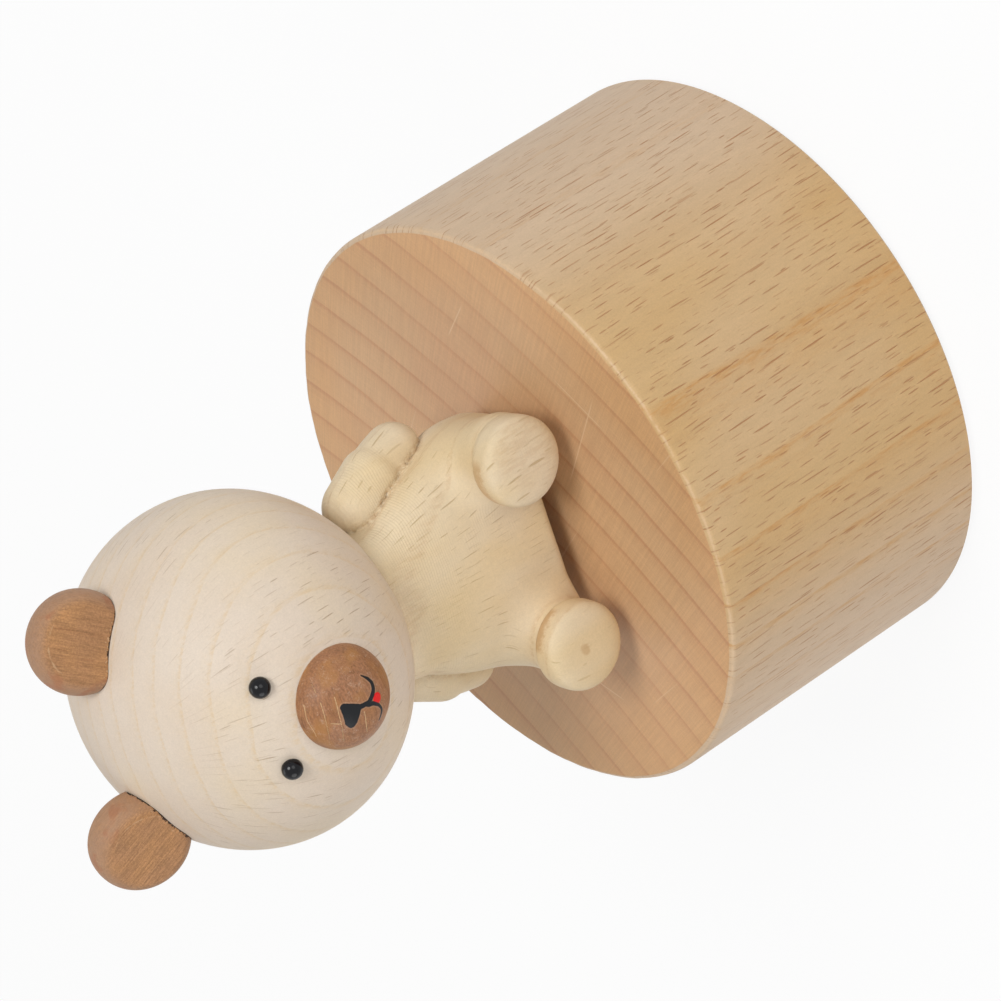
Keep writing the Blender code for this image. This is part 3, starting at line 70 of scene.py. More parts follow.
class Value:
    """A shader socket in arithmetic: each operator adds one Math node."""

    def __init__(self, nodes: "Nodes", socket: bpy.types.NodeSocket) -> None:
        """Wrap a socket of one node tree."""
        self.nodes = nodes
        self.socket = socket

    def math(self, operation: str, other: "Value | float" = 0.0, swapped: bool = False) -> "Value":
        """Add a Math node, whose other operand comes first if swapped."""
        first, second = (other, self) if swapped else (self, other)
        return self.nodes.add("ShaderNodeMath", {"operation": operation}, {0: first, 1: second})

    def __add__(self, other: "Value | float") -> "Value":
        """Sum."""
        return self.math("ADD", other)

    __radd__ = __add__

    def __sub__(self, other: "Value | float") -> "Value":
        """Difference."""
        return self.math("SUBTRACT", other)

    def __rsub__(self, other: float) -> "Value":
        """Difference from a number."""
        return self.math("SUBTRACT", other, True)

    def __mul__(self, other: "Value | float") -> "Value":
        """Product."""
        return self.math("MULTIPLY", other)

    __rmul__ = __mul__

    def __truediv__(self, other: "Value | float") -> "Value":
        """Quotient."""
        return self.math("DIVIDE", other)

    def __or__(self, other: "Value | float") -> "Value":
        """The larger of two."""
        return self.math("MAXIMUM", other)

    def __abs__(self) -> "Value":
        """The size without its sign."""
        return self.math("ABSOLUTE")

    def output(self, name: str) -> "Value":
        """Another output of the same node."""
        return Value(self.nodes, self.socket.node.outputs[name])


Number = Value | float
Paint = Value | Colour


class Nodes:
    """A node tree, with the point on the piece in the frame's metres and the colour that is laid so far."""

    def __init__(self, owner: Material | bpy.types.World, colour: Paint = WHITE) -> None:
        """Start the tree.

        Args:
            owner: the material or world that holds it.
            colour: the ground colour.
        """
        owner.use_nodes = True
        self.owner = owner
        self.tree = owner.node_tree
        self.colour = colour
        self.place = self.add("ShaderNodeTexCoord", {}, {}, 3)
        self.x, self.y, self.z = self.split(self.place)

    def feed(self, socket: bpy.types.NodeSocket, source: object) -> None:
        """Link a Value to a socket, or set the socket to a plain value.

        Args:
            socket: the input.
            source: a Value, a number, a vector or a colour.
        """
        if isinstance(source, Value):
            self.tree.links.new(source.socket, socket)
        else:
            socket.default_value = (*source, 1.0) if socket.type == "RGBA" else source

    def add(self, kind: str, settings: dict, inputs: dict, output: int = 0) -> Value:
        """Add one node.

        Args:
            kind: the node's type.
            settings: its properties, set first.
            inputs: a value or a Value for each socket, by name or number.
            output: which output to return.

        Returns:
            The chosen output.
        """
        node = self.tree.nodes.new(kind)
        for key, setting in settings.items():
            setattr(node, key, setting)
        for key, source in inputs.items():
            self.feed(node.inputs[key], source)
        return Value(self, node.outputs[output])

    def vector(self, operation: str, inputs: dict, output: int = 0) -> Value:
        """Add a Vector Math node."""
        return self.add("ShaderNodeVectorMath", {"operation": operation}, inputs, output)

    def split(self, vector: Value) -> tuple[Value, Value, Value]:
        """The three parts of a vector."""
        first = self.add("ShaderNodeSeparateXYZ", {}, {0: vector})
        return first, first.output("Y"), first.output("Z")

    def join(self, x: Number, y: Number, z: Number = 0.0) -> Value:
        """A vector from its parts."""
        return self.add("ShaderNodeCombineXYZ", {}, {0: x, 1: y, 2: z})

    def pressed(self, share: float) -> Value:
        """The point with its height times the share, which stretches a pattern along Z."""
        return self.join(self.x, self.y, self.z * share)

    def attribute(self, name: str) -> Value:
        """A number stored on the piece's corners."""
        return self.add("ShaderNodeAttribute", {"attribute_name": name}, {}, 2)

    def step(self, value: Value, low: float, high: float) -> Value:
        """0 below low and 1 above high, with a smooth change between them."""
        settings = {"interpolation_type": "SMOOTHSTEP"}
        return self.add("ShaderNodeMapRange", settings, {0: value, 1: low, 2: high, 3: 0.0, 4: 1.0})

    def fade(self, value: Value, low: float, high: float) -> Value:
        """1 below low and 0 above high."""
        return 1.0 - self.step(value, low, high)

    def noise(self, vector: Value, scale: float, detail: float = 2.0, rough: float = 0.5) -> Value:
        """Fractal noise about 0.5."""
        inputs = {"Vector": vector, "Scale": scale, "Detail": detail, "Roughness": rough}
        return self.add("ShaderNodeTexNoise", {}, inputs)

    def cloud(self, vector: Value, scale: float, low: float, high: float, detail: float = 2.0,
              rough: float = 0.5) -> Value:
        """Noise that is made 0 below low and 1 above high."""
        return self.step(self.noise(vector, scale, detail, rough), low, high)

    def mix(self, share: Number, one: Paint, two: Paint, blend: str = "MIX") -> Value:
        """Blend a share of the second colour into the first, by a blend type of the Mix node."""
        settings = {"data_type": "RGBA", "blend_type": blend}
        return self.add("ShaderNodeMix", settings, {0: share, 6: one, 7: two}, 2)

    def lay(self, share: Value, colour: Paint) -> None:
        """Lay a colour over a share of the surface."""
        self.colour = self.mix(share, self.colour, colour)

    def tone(self, share: Value, low: float, high: float) -> None:
        """Multiply the colour by a grey that runs from low to high with the share."""
        grey = self.mix(share, (low, low, low), (high, high, high))
        self.colour = self.mix(1.0, self.colour, grey, "MULTIPLY")

    def finish(self, rough: Number, height: Value | None = None, depth: float = 0.0, specular: float = 0.5,
               metal: float = 0.0) -> Material:
        """Connect the shader.

        Args:
            rough: the roughness.
            height: the relief, in shares of the depth.
            depth: the depth in metres.
            specular: the specular level.
            metal: the metallic value.

        Returns:
            The finished material.
        """
        wanted = {"Base Color": self.colour, "Roughness": rough, "Metallic": metal,
                  "Specular IOR Level": specular}
        if height is not None:
            wanted["Normal"] = self.add("ShaderNodeBump", {}, {"Height": height, "Distance": depth})
        for name, source in wanted.items():
            self.feed(self.tree.nodes["Principled BSDF"].inputs[name], source)
        return self.owner

    def seen(self) -> Value:
        """1 where the camera sees this, straight or in a glossy or clear surface."""
        path = self.add("ShaderNodeLightPath", {}, {})
        return path | path.output("Is Glossy Ray") | path.output("Is Transmission Ray")


@dataclass(frozen=True)
class Flecks:
    """Short rays along the grain, one to a cell of a jittered lattice, each a spindle of random length."""

    cell_across: float
    cell_along: float
    half_width: float
    half_length: float
    share: float
    shift: float = 0.0
    weight: float = 1.0

    def mask(self, nodes: Nodes, across: Value) -> Value:
        """Where the flecks are.

        The distance from a cell's point, divided by half the width across and by half a random length along,
        is squared and summed; the fleck is where the sum is under one.

        Args:
            nodes: the material's nodes.
            across: metres across the grain.

        Returns:
            The flecks' strength from 0 to 1.
        """
        column = across / self.cell_across + self.shift
        row = nodes.z / self.cell_along + self.shift * 0.37
        settings = {"voronoi_dimensions": "2D", "feature": "F1"}
        inputs = {"Vector": nodes.join(column, row), "Scale": 1.0, "Randomness": 0.8}
        cell = nodes.add("ShaderNodeTexVoronoi", settings, inputs)
        spot_column, spot_row, _ = nodes.split(cell.output("Position"))
        chance, length, dark = nodes.split(cell.output("Color"))
        wide = (column - spot_column) * (self.cell_across / self.half_width)
        tall = (row - spot_row) * (self.cell_along / self.half_length) / (length * 0.9 + 0.35)
        present = nodes.step(chance, 0.98 - self.share, 1.02 - self.share)
        return nodes.fade(wide * wide + tall * tall, 0.5, 1.4) * present * (dark * 0.6 + 0.4) * self.weight


def flecked(nodes: Nodes, across: Value, kinds: tuple[Flecks, ...]) -> Value:
    """The strongest of several kinds of flecks."""
    return reduce(Value.__or__, [kind.mask(nodes, across) for kind in kinds])


@dataclass(frozen=True)
class Rings:
    """Growth rings about a distant upright pith, one of which has the first radius."""

    pith: tuple[float, float]
    spacing: float
    first: float
    wobble: float
    uneven: float = 0.0

    def polar(self, nodes: Nodes) -> tuple[Value, Value]:
        """Metres from the pith, and metres round it at the first ring."""
        dx, dy = nodes.x - self.pith[0], nodes.y - self.pith[1]
        return (dx * dx + dy * dy).math("SQRT"), dx.math("ARCTAN2", 0.0 - dy) * self.first

    def line(self, nodes: Nodes) -> Value:
        """The dark late wood.

        The distance from the first ring over the spacing, less its whole part, is the share of the ring that
        is grown; the wood darkens slowly, then quickly, and turns pale again at once.

        Args:
            nodes: the material's nodes.

        Returns:
            The line's strength from 0 to 1.
        """
        far, _ = self.polar(nodes)
        bend = nodes.noise(nodes.pressed(0.25), 90.0) - 0.5
        count = (far + bend * (2.0 * self.wobble) - self.first) / self.spacing
        if self.uneven > 0.0:
            count = count + (nodes.noise(nodes.join(far, 0.0), 220.0, 0.0) - 0.5) * self.uneven
        grown = (count - 0.03).math("FRACT")
        slow = nodes.step(grown, 0.35, 0.96) * 0.32
        quick = nodes.step(grown, 0.81, 0.95) * 0.68
        return (slow + quick) * nodes.fade(grown, 0.96, 1.0)


def around(nodes: Nodes, radius: float, x: float = 0.0, y: float = 0.0) -> Value:
    """Metres round an upright axis: the angle from the front, seam at the back, times the radius."""
    return (nodes.x - x).math("ARCTAN2", y - nodes.y) * radius


@dataclass(frozen=True)
class CaseBeech:
    """The case's beech: flecked side, end-grain top with rings, worn pale edge.
    A scratch is X and Y of its two ends."""

    radius: float
    top: float
    edge: float
    side: Colour = (0.575, 0.376, 0.174)
    side_warm: Colour = (0.548, 0.338, 0.138)
    # Pale grey for random patches and for the painted sheen on the side's flanks.
    side_grey_and_sheen: Colour = (0.600, 0.450, 0.315)
    fleck: Colour = (0.370, 0.150, 0.045)
    band: Colour = (0.530, 0.270, 0.080)
    end: Colour = (0.570, 0.348, 0.180)
    end_pink: Colour = (0.550, 0.322, 0.168)
    end_orange: Colour = (0.585, 0.330, 0.145)
    late: Colour = (0.430, 0.185, 0.075)
    worn: Colour = (0.680, 0.480, 0.290)
    rings: Rings = Rings((-0.1018, 0.0872), 0.00442, 0.1536, 0.00045)
    flecks: tuple[Flecks, ...] = (
        Flecks(0.00150, 0.0062, 0.000082, 0.00190, 0.74),
        Flecks(0.00115, 0.0038, 0.000072, 0.00110, 0.76, 17.3, 0.85),
        Flecks(0.00070, 0.0022, 0.000048, 0.00062, 0.60, 41.9, 0.40))
    scratches: Path = (
        (0.0046, -0.0125, 0.0170, -0.0226), (0.0215, 0.0010, 0.0262, -0.0040),
        (-0.0235, -0.0095, -0.0205, -0.0030), (0.0125, -0.0225, 0.0185, -0.0160))
    depth: float = 0.00005

    def build(self) -> Material:
        """Make the material.

        Returns:
            The finished material.
        """
        nodes = Nodes(bpy.data.materials.new("beech_case"), self.side)
        late = self.rings.line(nodes)
        reach = (nodes.x * nodes.x + nodes.y * nodes.y).math("SQRT")
        fibre, marks = self.lay_side(nodes, late)
        side = nodes.colour
        relief = self.lay_end(nodes, late, reach)
        flat = nodes.step(nodes.z, self.top - 0.00006, self.top - 0.00001)
        nodes.colour = nodes.mix(flat, side, nodes.colour)
        nodes.lay(self.rim(nodes, reach) * 0.55, self.worn)
        height = (fibre * 0.5 - marks * 0.9) * (1.0 - flat) + relief * flat
        return nodes.finish(0.44 + fibre * 0.10, height, self.depth)

    def lay_side(self, nodes: Nodes, late: Value) -> tuple[Value, Value]:
        """Lay the side's warm zones, pale grey patches, a painted sheen on both flanks, growth bands, fibres
        and flecks.

        Args:
            nodes: the material's nodes.
            late: the late wood's strength.

        Returns:
            The fibres and the flecks.
        """
        across = around(nodes, self.radius)
        grain = across + (nodes.noise(nodes.join(across, nodes.z * 0.25), 160.0, 1.0) - 0.5) * 0.0012
        fibre = nodes.noise(nodes.join(grain, nodes.z * 0.10), PORES, 2.0, 0.6)
        warm = nodes.cloud(nodes.join(grain, nodes.z * 0.06), 110.0, 0.36, 0.66, 3.0)
        nodes.lay(warm * 0.8, self.side_warm)
        nodes.lay(nodes.cloud(nodes.place, 38.0, 0.5, 0.75, 1.0) * 0.25, self.side_grey_and_sheen)
        # Painted sheen: pale grey laid on both flanks of the side, by the angle round the case away from the
        # front.
        nodes.lay(nodes.step(abs(across - 0.012), 0.012, 0.034) * 0.80, self.side_grey_and_sheen)
        dashes = nodes.cloud(nodes.join(across, nodes.z * 0.16), 1500.0, 0.44, 0.62, 2.0, 0.7)
        # The growth bands are drawn fainter on the flanks, under the painted sheen.
        front = nodes.fade(abs(across - 0.006), 0.016, 0.034) * 0.7 + 0.3
        nodes.lay(late * (dashes * 0.55 + 0.25) * front, self.band)
        nodes.tone(nodes.cloud(nodes.join(grain, nodes.z * 0.03), 620.0, 0.25, 0.75, 3.0, 0.6), 0.965, 1.03)
        nodes.tone(fibre, 0.94, 1.06)
        nodes.tone(nodes.noise(nodes.place, PORES, 1.0, 0.6), 0.91, 1.09)
        marks = flecked(nodes, grain, self.flecks)
        nodes.lay(marks * 0.78, self.fleck)
        return fibre, marks

    def lay_end(self, nodes: Nodes, late: Value, reach: Value) -> Value:
        """Lay the end grain's pink and orange zones, rings, pores, rays, sanding marks and scratches.

        Args:
            nodes: the material's nodes.
            late: the late wood's strength.
            reach: metres from the case's axis.

        Returns:
            The relief.
        """
        blotch = nodes.noise(nodes.place, 70.0)
        pores = nodes.noise(nodes.place, PORES, 2.0, 0.7)
        nodes.colour = self.end
        nodes.lay(nodes.step(blotch, 0.35, 0.7), self.end_pink)
        outer = nodes.step(reach + (blotch - 0.5) * 0.02, self.radius * 0.60, self.radius * 1.02)
        nodes.lay(outer * 0.8, self.end_orange)
        ragged = nodes.noise(nodes.join(nodes.x, nodes.y), 1500.0, 2.0, 0.7)
        faint = nodes.cloud(nodes.join(nodes.x, nodes.y, 0.5), 55.0, 0.35, 0.65, 1.0) * 0.45 + 0.55
        nodes.lay(late * (ragged * 0.5 + 0.35) * faint, self.late)
        nodes.tone(pores, 0.88, 1.12)
        far, arc = self.rings.polar(nodes)
        nodes.tone(nodes.cloud(nodes.join(arc, far * 0.035), 3800.0, 0.35, 0.7, 2.0, 0.7), 0.955, 1.05)
        sanding = nodes.noise(nodes.join(far, arc * 0.02), 3600.0, 2.0, 0.7)
        nodes.tone(nodes.step(sanding, 0.40, 0.75), 0.975, 1.03)
        hair = nodes.cloud(nodes.join(arc + far * 0.12, far * 0.02), 1300.0, 0.725, 0.75, 1.0) * 0.35
        nodes.lay(reduce(Value.__or__, [self.cut(nodes, *ends) for ends in self.scratches], hair), self.worn)
        return sanding * 0.6 + pores * 0.5

    @staticmethod
    def cut(nodes: Nodes, start_x: float, start_y: float, end_x: float, end_y: float) -> Value:
        """A straight scratch: near the line through its ends, fading from its middle to them.

        Args:
            nodes: the material's nodes.
            start_x: X of the first end.
            start_y: Y of the first end.
            end_x: X of the second end.
            end_y: Y of the second end.

        Returns:
            The scratch's strength from 0 to 1.
        """
        long = math.hypot(end_x - start_x, end_y - start_y)
        ahead_x, ahead_y = (end_x - start_x) / long, (end_y - start_y) / long
        dx, dy = nodes.x - start_x, nodes.y - start_y
        beside = nodes.fade(abs(dx * -ahead_y + dy * ahead_x), 0.00002, 0.00012)
        along = dx * ahead_x + dy * ahead_y
        return beside * nodes.fade(abs(along - long / 2.0), long * 0.3, long / 2.0) * 0.7

    def rim(self, nodes: Nodes, reach: Value) -> Value:
        """The worn line on the top edge: near the cone through the edge, broken by chips.

        Args:
            nodes: the material's nodes.
            reach: metres from the case's axis.

        Returns:
            The line's strength from 0 to 1.
        """
        chips = nodes.noise(nodes.place, 900.0, 3.0, 0.7) - 0.5
        slant = (nodes.z - self.top) - (reach - self.radius) + chips * 0.0007
        line = nodes.fade(abs(slant), 0.00008, 0.00030) * nodes.step(chips, -0.18, 0.06)
        corner = self.top + self.radius - self.edge
        return line * nodes.step(nodes.z + reach, corner - self.edge * 0.6, corner)


@dataclass(frozen=True)
class Crease:
    """A darker brown line on an arc about an axis along Y, laid along a crease."""

    centre: Spot
    radius: float
    middle: float
    spread: float
    width: float
    share: float

    def mask(self, nodes: Nodes) -> Value:
        """Where the line is: near the circle, and within the spread of its middle angle.

        Args:
            nodes: the material's nodes.

        Returns:
            The line's strength from 0 to 1.
        """
        dx, dy, dz = nodes.x - self.centre[0], nodes.y - self.centre[1], nodes.z - self.centre[2]
        reach = (dx * dx + dz * dz).math("SQRT")
        off = reach - self.radius
        uneven = (nodes.noise(nodes.place, 1300.0, 3.0, 0.7) - 0.5) * self.width * 1.4
        near = nodes.fade((off * off + dy * dy).math("SQRT") + uneven, self.width * 0.3, self.width)
        facing = (dx * math.cos(self.middle) + dz * math.sin(self.middle)) / reach
        limit = math.cos(self.spread)
        return near * nodes.step(facing, limit, 0.5 + 0.5 * limit) * self.share


@dataclass(frozen=True)
class Knot:
    """A small ragged knot."""

    centre: Spot
    size: float
    share: float

    def mask(self, nodes: Nodes) -> Value:
        """Where the knot is.

        Args:
            nodes: the material's nodes.

        Returns:
            The knot's strength from 0 to 1.
        """
        offset = nodes.vector("DISTANCE", {0: nodes.place, 1: self.centre}, 1)
        ragged = offset + (nodes.noise(nodes.place, 1500.0) - 0.5) * self.size
        return nodes.fade(ragged, self.size * 0.55, self.size * 1.15) * self.share


@dataclass(frozen=True)
class PaleWood:
    """Pale oiled wood with flecks, faint growth arcs and fine fibres along Z, about an upright axis."""

    name: str
    base: Colour
    shade: Colour
    glow: Colour
    fleck: Colour
    late: Colour
    centre: Spot
    radius: float
    rings: Rings
    ring_strength: float
    fleck_strength: float
    carved: bool = False
    marks: tuple[Crease | Knot, ...] = ()
    torn_and_gap_shade: Colour = (0.84, 0.76, 0.62)
    flecks: tuple[Flecks, ...] = (
        Flecks(0.00135, 0.0040, 0.000062, 0.00105, 0.72, 7.1),
        Flecks(0.00090, 0.0026, 0.000050, 0.00070, 0.60, 29.7, 0.50))
    depth: float = 0.00004
    ridge: float = 0.00030

    def build(self) -> Material:
        """Make the material.

        Returns:
            The finished material.
        """
        nodes = Nodes(bpy.data.materials.new(self.name), self.base)
        across = around(nodes, self.radius, *self.centre[:2])
        grain = across + (nodes.noise(nodes.pressed(0.3), 150.0, 1.0) - 0.5) * 0.0016
        fibre = nodes.noise(nodes.pressed(0.06), 4200.0, 2.0, 0.6)
        mottle = nodes.noise(nodes.place, 1700.0, 3.0, 0.7)
        nodes.lay(nodes.cloud(nodes.pressed(0.25), 130.0, 0.35, 0.68, 3.0), self.shade)
        nodes.lay(nodes.cloud(nodes.place, 75.0, 0.45, 0.75) * 0.7, self.glow)
        teeth = nodes.cloud(nodes.pressed(0.15), 2400.0, 0.36, 0.66, 2.0, 0.7)
        nodes.lay(self.rings.line(nodes) * (teeth * 0.8 + 0.2) * self.ring_strength, self.late)
        nodes.tone(mottle, 0.95, 1.05)
        nodes.tone(fibre, 0.97, 1.03)
        nodes.tone(nodes.noise(nodes.place, PORES, 1.0, 0.6), 0.92, 1.08)
        _, _, rise = nodes.split(nodes.add("ShaderNodeNewGeometry", {}, {}, 1))
        patchy = nodes.cloud(nodes.place, 105.0, 0.34, 0.58, 1.0) * 0.75 + 0.25
        flecks = flecked(nodes, grain, self.flecks) * patchy * nodes.fade(abs(rise), 0.72, 0.95)
        nodes.lay(flecks * self.fleck_strength, self.fleck)
        height = fibre * 0.35 - flecks * 0.8 + mottle * 0.3
        for mark in self.marks:
            nodes.lay(mark.mask(nodes), self.late)
        if self.carved:
            height = height + self.ridges(nodes) + self.tear_and_gap_shade(nodes)
        return nodes.finish(0.55, height, self.depth, 0.3)

    def ridges(self, nodes: Nodes) -> Value:
        """The lathe's marks: a sine wave along the height, strong at the neck and in patches below it.

        Args:
            nodes: the material's nodes.

        Returns:
            The relief.
        """
        level = nodes.z + (nodes.noise(nodes.place, 260.0, 1.0) - 0.5) * 0.0008
        neck = nodes.step(nodes.z, self.centre[2] + 0.0125, self.centre[2] + 0.0185)
        patches = nodes.cloud(nodes.place, 150.0, 0.60, 0.72, 1.0) * 0.5
        return (level * (TURN / self.ridge)).math("SINE") * (neck | patches) * 0.28

    def tear_and_gap_shade(self, nodes: Nodes) -> Value:
        """Lay the ripped fibres of the grooves.

        Args:
            nodes: the material's nodes.

        Returns:
            The relief.
        """
        torn_and_gap_shade = nodes.attribute("groove")
        fibres = nodes.noise(nodes.pressed(0.4), 2600.0, 3.0, 0.8)
        nodes.lay(torn_and_gap_shade * nodes.step(fibres, 0.45, 0.62) * 0.50, self.late)
        nodes.lay(torn_and_gap_shade * nodes.fade(fibres, 0.38, 0.48) * 0.60, self.torn_and_gap_shade)
        return torn_and_gap_shade * fibres * 6.0


@dataclass(frozen=True)
class BrownWood:
    """Brown heartwood of ears and muzzle: fine streaks along one direction, pores and pale scratches."""

    name: str
    along: Spot
    base: Colour = (0.385, 0.198, 0.093)
    dark: Colour = (0.235, 0.100, 0.042)
    warm: Colour = (0.425, 0.215, 0.088)
    pale: Colour = (0.600, 0.400, 0.230)

    def wood(self, nodes: Nodes) -> Value:
        """Lay the bare wood: noise on the point less most of its part along the streaks.

        Args:
            nodes: the material's nodes.

        Returns:
            The streaks.
        """
        along = nodes.vector("DOT_PRODUCT", {0: nodes.place, 1: self.along}, 1)
        back = nodes.vector("SCALE", {0: self.along, "Scale": along * -0.93})
        streaks = nodes.vector("ADD", {0: nodes.place, 1: back})
        fine = nodes.noise(streaks, 4200.0, 3.0, 0.75)
        broad = nodes.noise(streaks, 520.0, 2.0, 0.6)
        hair = nodes.cloud(streaks, 2600.0, 0.62, 0.70, 1.0, 0.6)
        nodes.lay(nodes.cloud(nodes.place, 230.0, 0.40, 0.72) * 0.75, self.warm)
        nodes.lay(nodes.step(broad, 0.52, 0.78) * 0.35, self.dark)
        nodes.lay(hair * nodes.step(broad, 0.44, 0.60) * 0.55, self.dark)
        nodes.tone(nodes.step(fine, 0.28, 0.72), 0.80, 1.20)
        nodes.tone(nodes.cloud(nodes.place, 4800.0, 0.28, 0.72, 2.0, 0.7), 0.84, 1.16)
        return fine


@dataclass(frozen=True)
class EarWood(BrownWood):
    """An ear: duller round its rim from wear and a painted highlight; a ragged painted shadow at the seam,
    reach in millimetres.
    """

    # Heights over the head between which the painted seam shadow's ragged edge lies, in millimetres.
    torn_and_gap_shade: tuple[float, float] = (0.03, 0.10)
    # Pale grey for wear and a painted highlight round the rim.
    dusty_and_highlight: Colour = (0.400, 0.245, 0.160)
    red: Colour = (0.36, 0.125, 0.055)
    # Near black for the painted shadow where the ear meets the head.
    gap_shadow: Colour = (0.030, 0.012, 0.006)

    def build(self) -> Material:
        """Make the material.

        Returns:
            The finished material.
        """
        nodes = Nodes(bpy.data.materials.new(self.name), self.base)
        fine = self.wood(nodes)
        rim, seam = nodes.attribute("rim"), nodes.attribute("seam")
        worn = nodes.noise(nodes.place, 1500.0, 3.0, 0.7)
        # Pale grey round the rim and back: partly worn wood, partly a painted highlight on the rounded edge.
        nodes.lay(nodes.step(rim, 0.10, 0.75) * (worn * 0.7 + 0.20), self.dusty_and_highlight)
        nodes.lay(nodes.cloud(nodes.place, 420.0, 0.55, 0.68) * nodes.step(rim, 0.05, 0.4) * 0.45, self.red)
        line = nodes.fade(nodes.attribute("arc") + (worn - 0.5) * 0.5, -0.02, 0.12)
        nodes.lay(line * nodes.cloud(nodes.place, 700.0, 0.36, 0.56) * 0.5, self.pale)
        bright = nodes.cloud(nodes.place, 4200.0, 0.62, 0.68, 1.0) * nodes.fade(seam, 0.2, 0.9)
        nodes.lay(bright * 0.7, self.pale)
        # Painted shadow: a near-black ragged band on the ear up to a small height over the head.
        low, high = self.torn_and_gap_shade
        tear_and_gap_shade = nodes.cloud(nodes.place, 900.0, 0.42, 0.62, 4.0, 0.9) * (high - low) + low
        nodes.lay(nodes.fade(seam - tear_and_gap_shade, 0.0, 0.035), self.gap_shadow)
        return nodes.finish(0.55, fine + worn * 0.4, 0.00006, 0.25)


@dataclass(frozen=True)
class MuzzleWood(BrownWood):
    """The muzzle: orange patches, worn and dusty places, pale scratches, painted nose, mouth and tongue."""

    base: Colour = (0.318, 0.146, 0.070)
    dark: Colour = (0.190, 0.078, 0.033)
    warm: Colour = (0.355, 0.162, 0.064)
    orange: Colour = (0.420, 0.195, 0.058)
    worn: Colour = (0.460, 0.280, 0.180)
    dust: Colour = (0.560, 0.400, 0.290)
    scratch: Colour = (0.700, 0.440, 0.230)
    bare: Colour = (0.520, 0.330, 0.210)
    paint: Colour = (0.006, 0.007, 0.009)
    red: Colour = (0.740, 0.003, 0.003)

    def build(self) -> Material:
        """Make the material.

        Returns:
            The finished material.
        """
        nodes = Nodes(bpy.data.materials.new(self.name), self.base)
        fine = self.wood(nodes)
        nodes.lay(nodes.cloud(nodes.place, 300.0, 0.48, 0.66) * 0.6, self.orange)
        worn = nodes.noise(nodes.place, 1100.0, 3.0, 0.75)
        nodes.lay(nodes.step(worn, 0.54, 0.76) * 0.5, self.worn)
        dust = nodes.cloud(nodes.place, PORES, 0.50, 0.70, 2.0, 0.7) * nodes.step(worn, 0.42, 0.66)
        nodes.lay(dust * 0.45, self.dust)
        ragged = (nodes.noise(nodes.place, 2500.0) - 0.5) * 0.08
        scratch = nodes.fade(nodes.attribute("scratch") + ragged, -0.03, 0.05)
        nodes.lay(scratch * 0.85, self.scratch)
        seam = nodes.fade(nodes.attribute("seam"), 0.05, 0.22)
        nodes.lay(seam * nodes.step(worn, 0.40, 0.55) * 0.6, self.pale)
        blot = (nodes.noise(nodes.place, 2200.0) - 0.5) * 0.10
        tongue = nodes.fade(nodes.attribute("tongue") + blot, -0.04, 0.05)
        line = nodes.attribute("paint") + blot
        black = nodes.fade(line, -0.04, 0.05)
        nodes.lay(nodes.fade(line, 0.06, 0.22) * (1.0 - black) * 0.30, self.bare)
        nodes.lay(tongue, self.red)
        nodes.lay(black, self.paint)
        painted = tongue | black
        height = fine * 0.6 - scratch * 1.2 + painted
        return nodes.finish(painted * -0.10 + 0.45, height, 0.00005, 0.25)


@dataclass(frozen=True)
class PlainFinish:
    """A worked material with a small grain: metals, nylon, felt, plywood and bead."""

    name: str
    colour: Colour
    dark: Colour
    rough: float
    metal: float = 0.0
    grain: float = 900.0
    stretch: Spot = (1.0, 1.0, 1.0)
    depth: float = 0.00001
    contrast: float = 0.5
    specular: float = 0.5

    def build(self) -> Material:
        """Make the material.

        Returns:
            The finished material.
        """
        nodes = Nodes(bpy.data.materials.new(self.name), self.colour)
        stretched = nodes.vector("MULTIPLY", {0: nodes.place, 1: self.stretch})
        grain = nodes.noise(stretched, self.grain, 3.0, 0.6)
        nodes.lay(nodes.step(grain, 0.3, 0.75) * self.contrast, self.dark)
        nodes.tone(nodes.noise(nodes.place, 160.0), 0.92, 1.06)
        return nodes.finish((grain - 0.5) * 0.12 + self.rough, grain, self.depth, self.specular, self.metal)


def surface(name: str, points: Array, quads: Array, tris: Array | None = None, sharp: float = 50.0) -> Mesh:
    """Put corners and faces into a mesh as whole arrays.

    Args:
        name: the mesh's name.
        points: corners, n by 3.
        quads: four-sided faces, n by 4.
        tris: three-sided faces, n by 3.
        sharp: the fold in degrees above which an edge is sharp.

    Returns:
        The mesh, shaded smooth.
    """
    tris = np.empty((0, 3), dtype=int) if tris is None else tris
    mesh = bpy.data.meshes.new(name)
    mesh.vertices.add(len(points))
    mesh.vertices.foreach_set("co", points.astype(np.float32).ravel())
    corners = np.concatenate([quads.ravel(), tris.ravel()]).astype(np.int32)
    mesh.loops.add(len(corners))
    mesh.loops.foreach_set("vertex_index", corners)
    starts = np.concatenate([np.arange(len(quads)) * 4, quads.size + np.arange(len(tris)) * 3])
    mesh.polygons.add(len(starts))
    mesh.polygons.foreach_set("loop_start", starts.astype(np.int32))
    mesh.update(calc_edges=True)
    mesh.validate()
    mesh.shade_smooth()
    mesh.set_sharp_from_angle(angle=math.radians(sharp))
    return mesh


def lattice(rows: int, columns: int, wrap: bool = False) -> Array:
    """Four-sided faces of a grid whose columns close round, and whose rows close too if wrap is set.

    Args:
        rows: how many rows of corners.
        columns: how many corners in a row.
        wrap: whether the last row joins the first.

    Returns:
        Corner numbers, n by 4.
    """
    row = np.arange(rows if wrap else rows - 1)[:, None]
    column = np.arange(columns)[None, :]
    up = (row + 1) % rows
    beside = (column + 1) % columns
    faces = [row * columns + column, row * columns + beside, up * columns + beside, up * columns + column]
    return np.stack(faces, axis=-1).reshape(-1, 4)


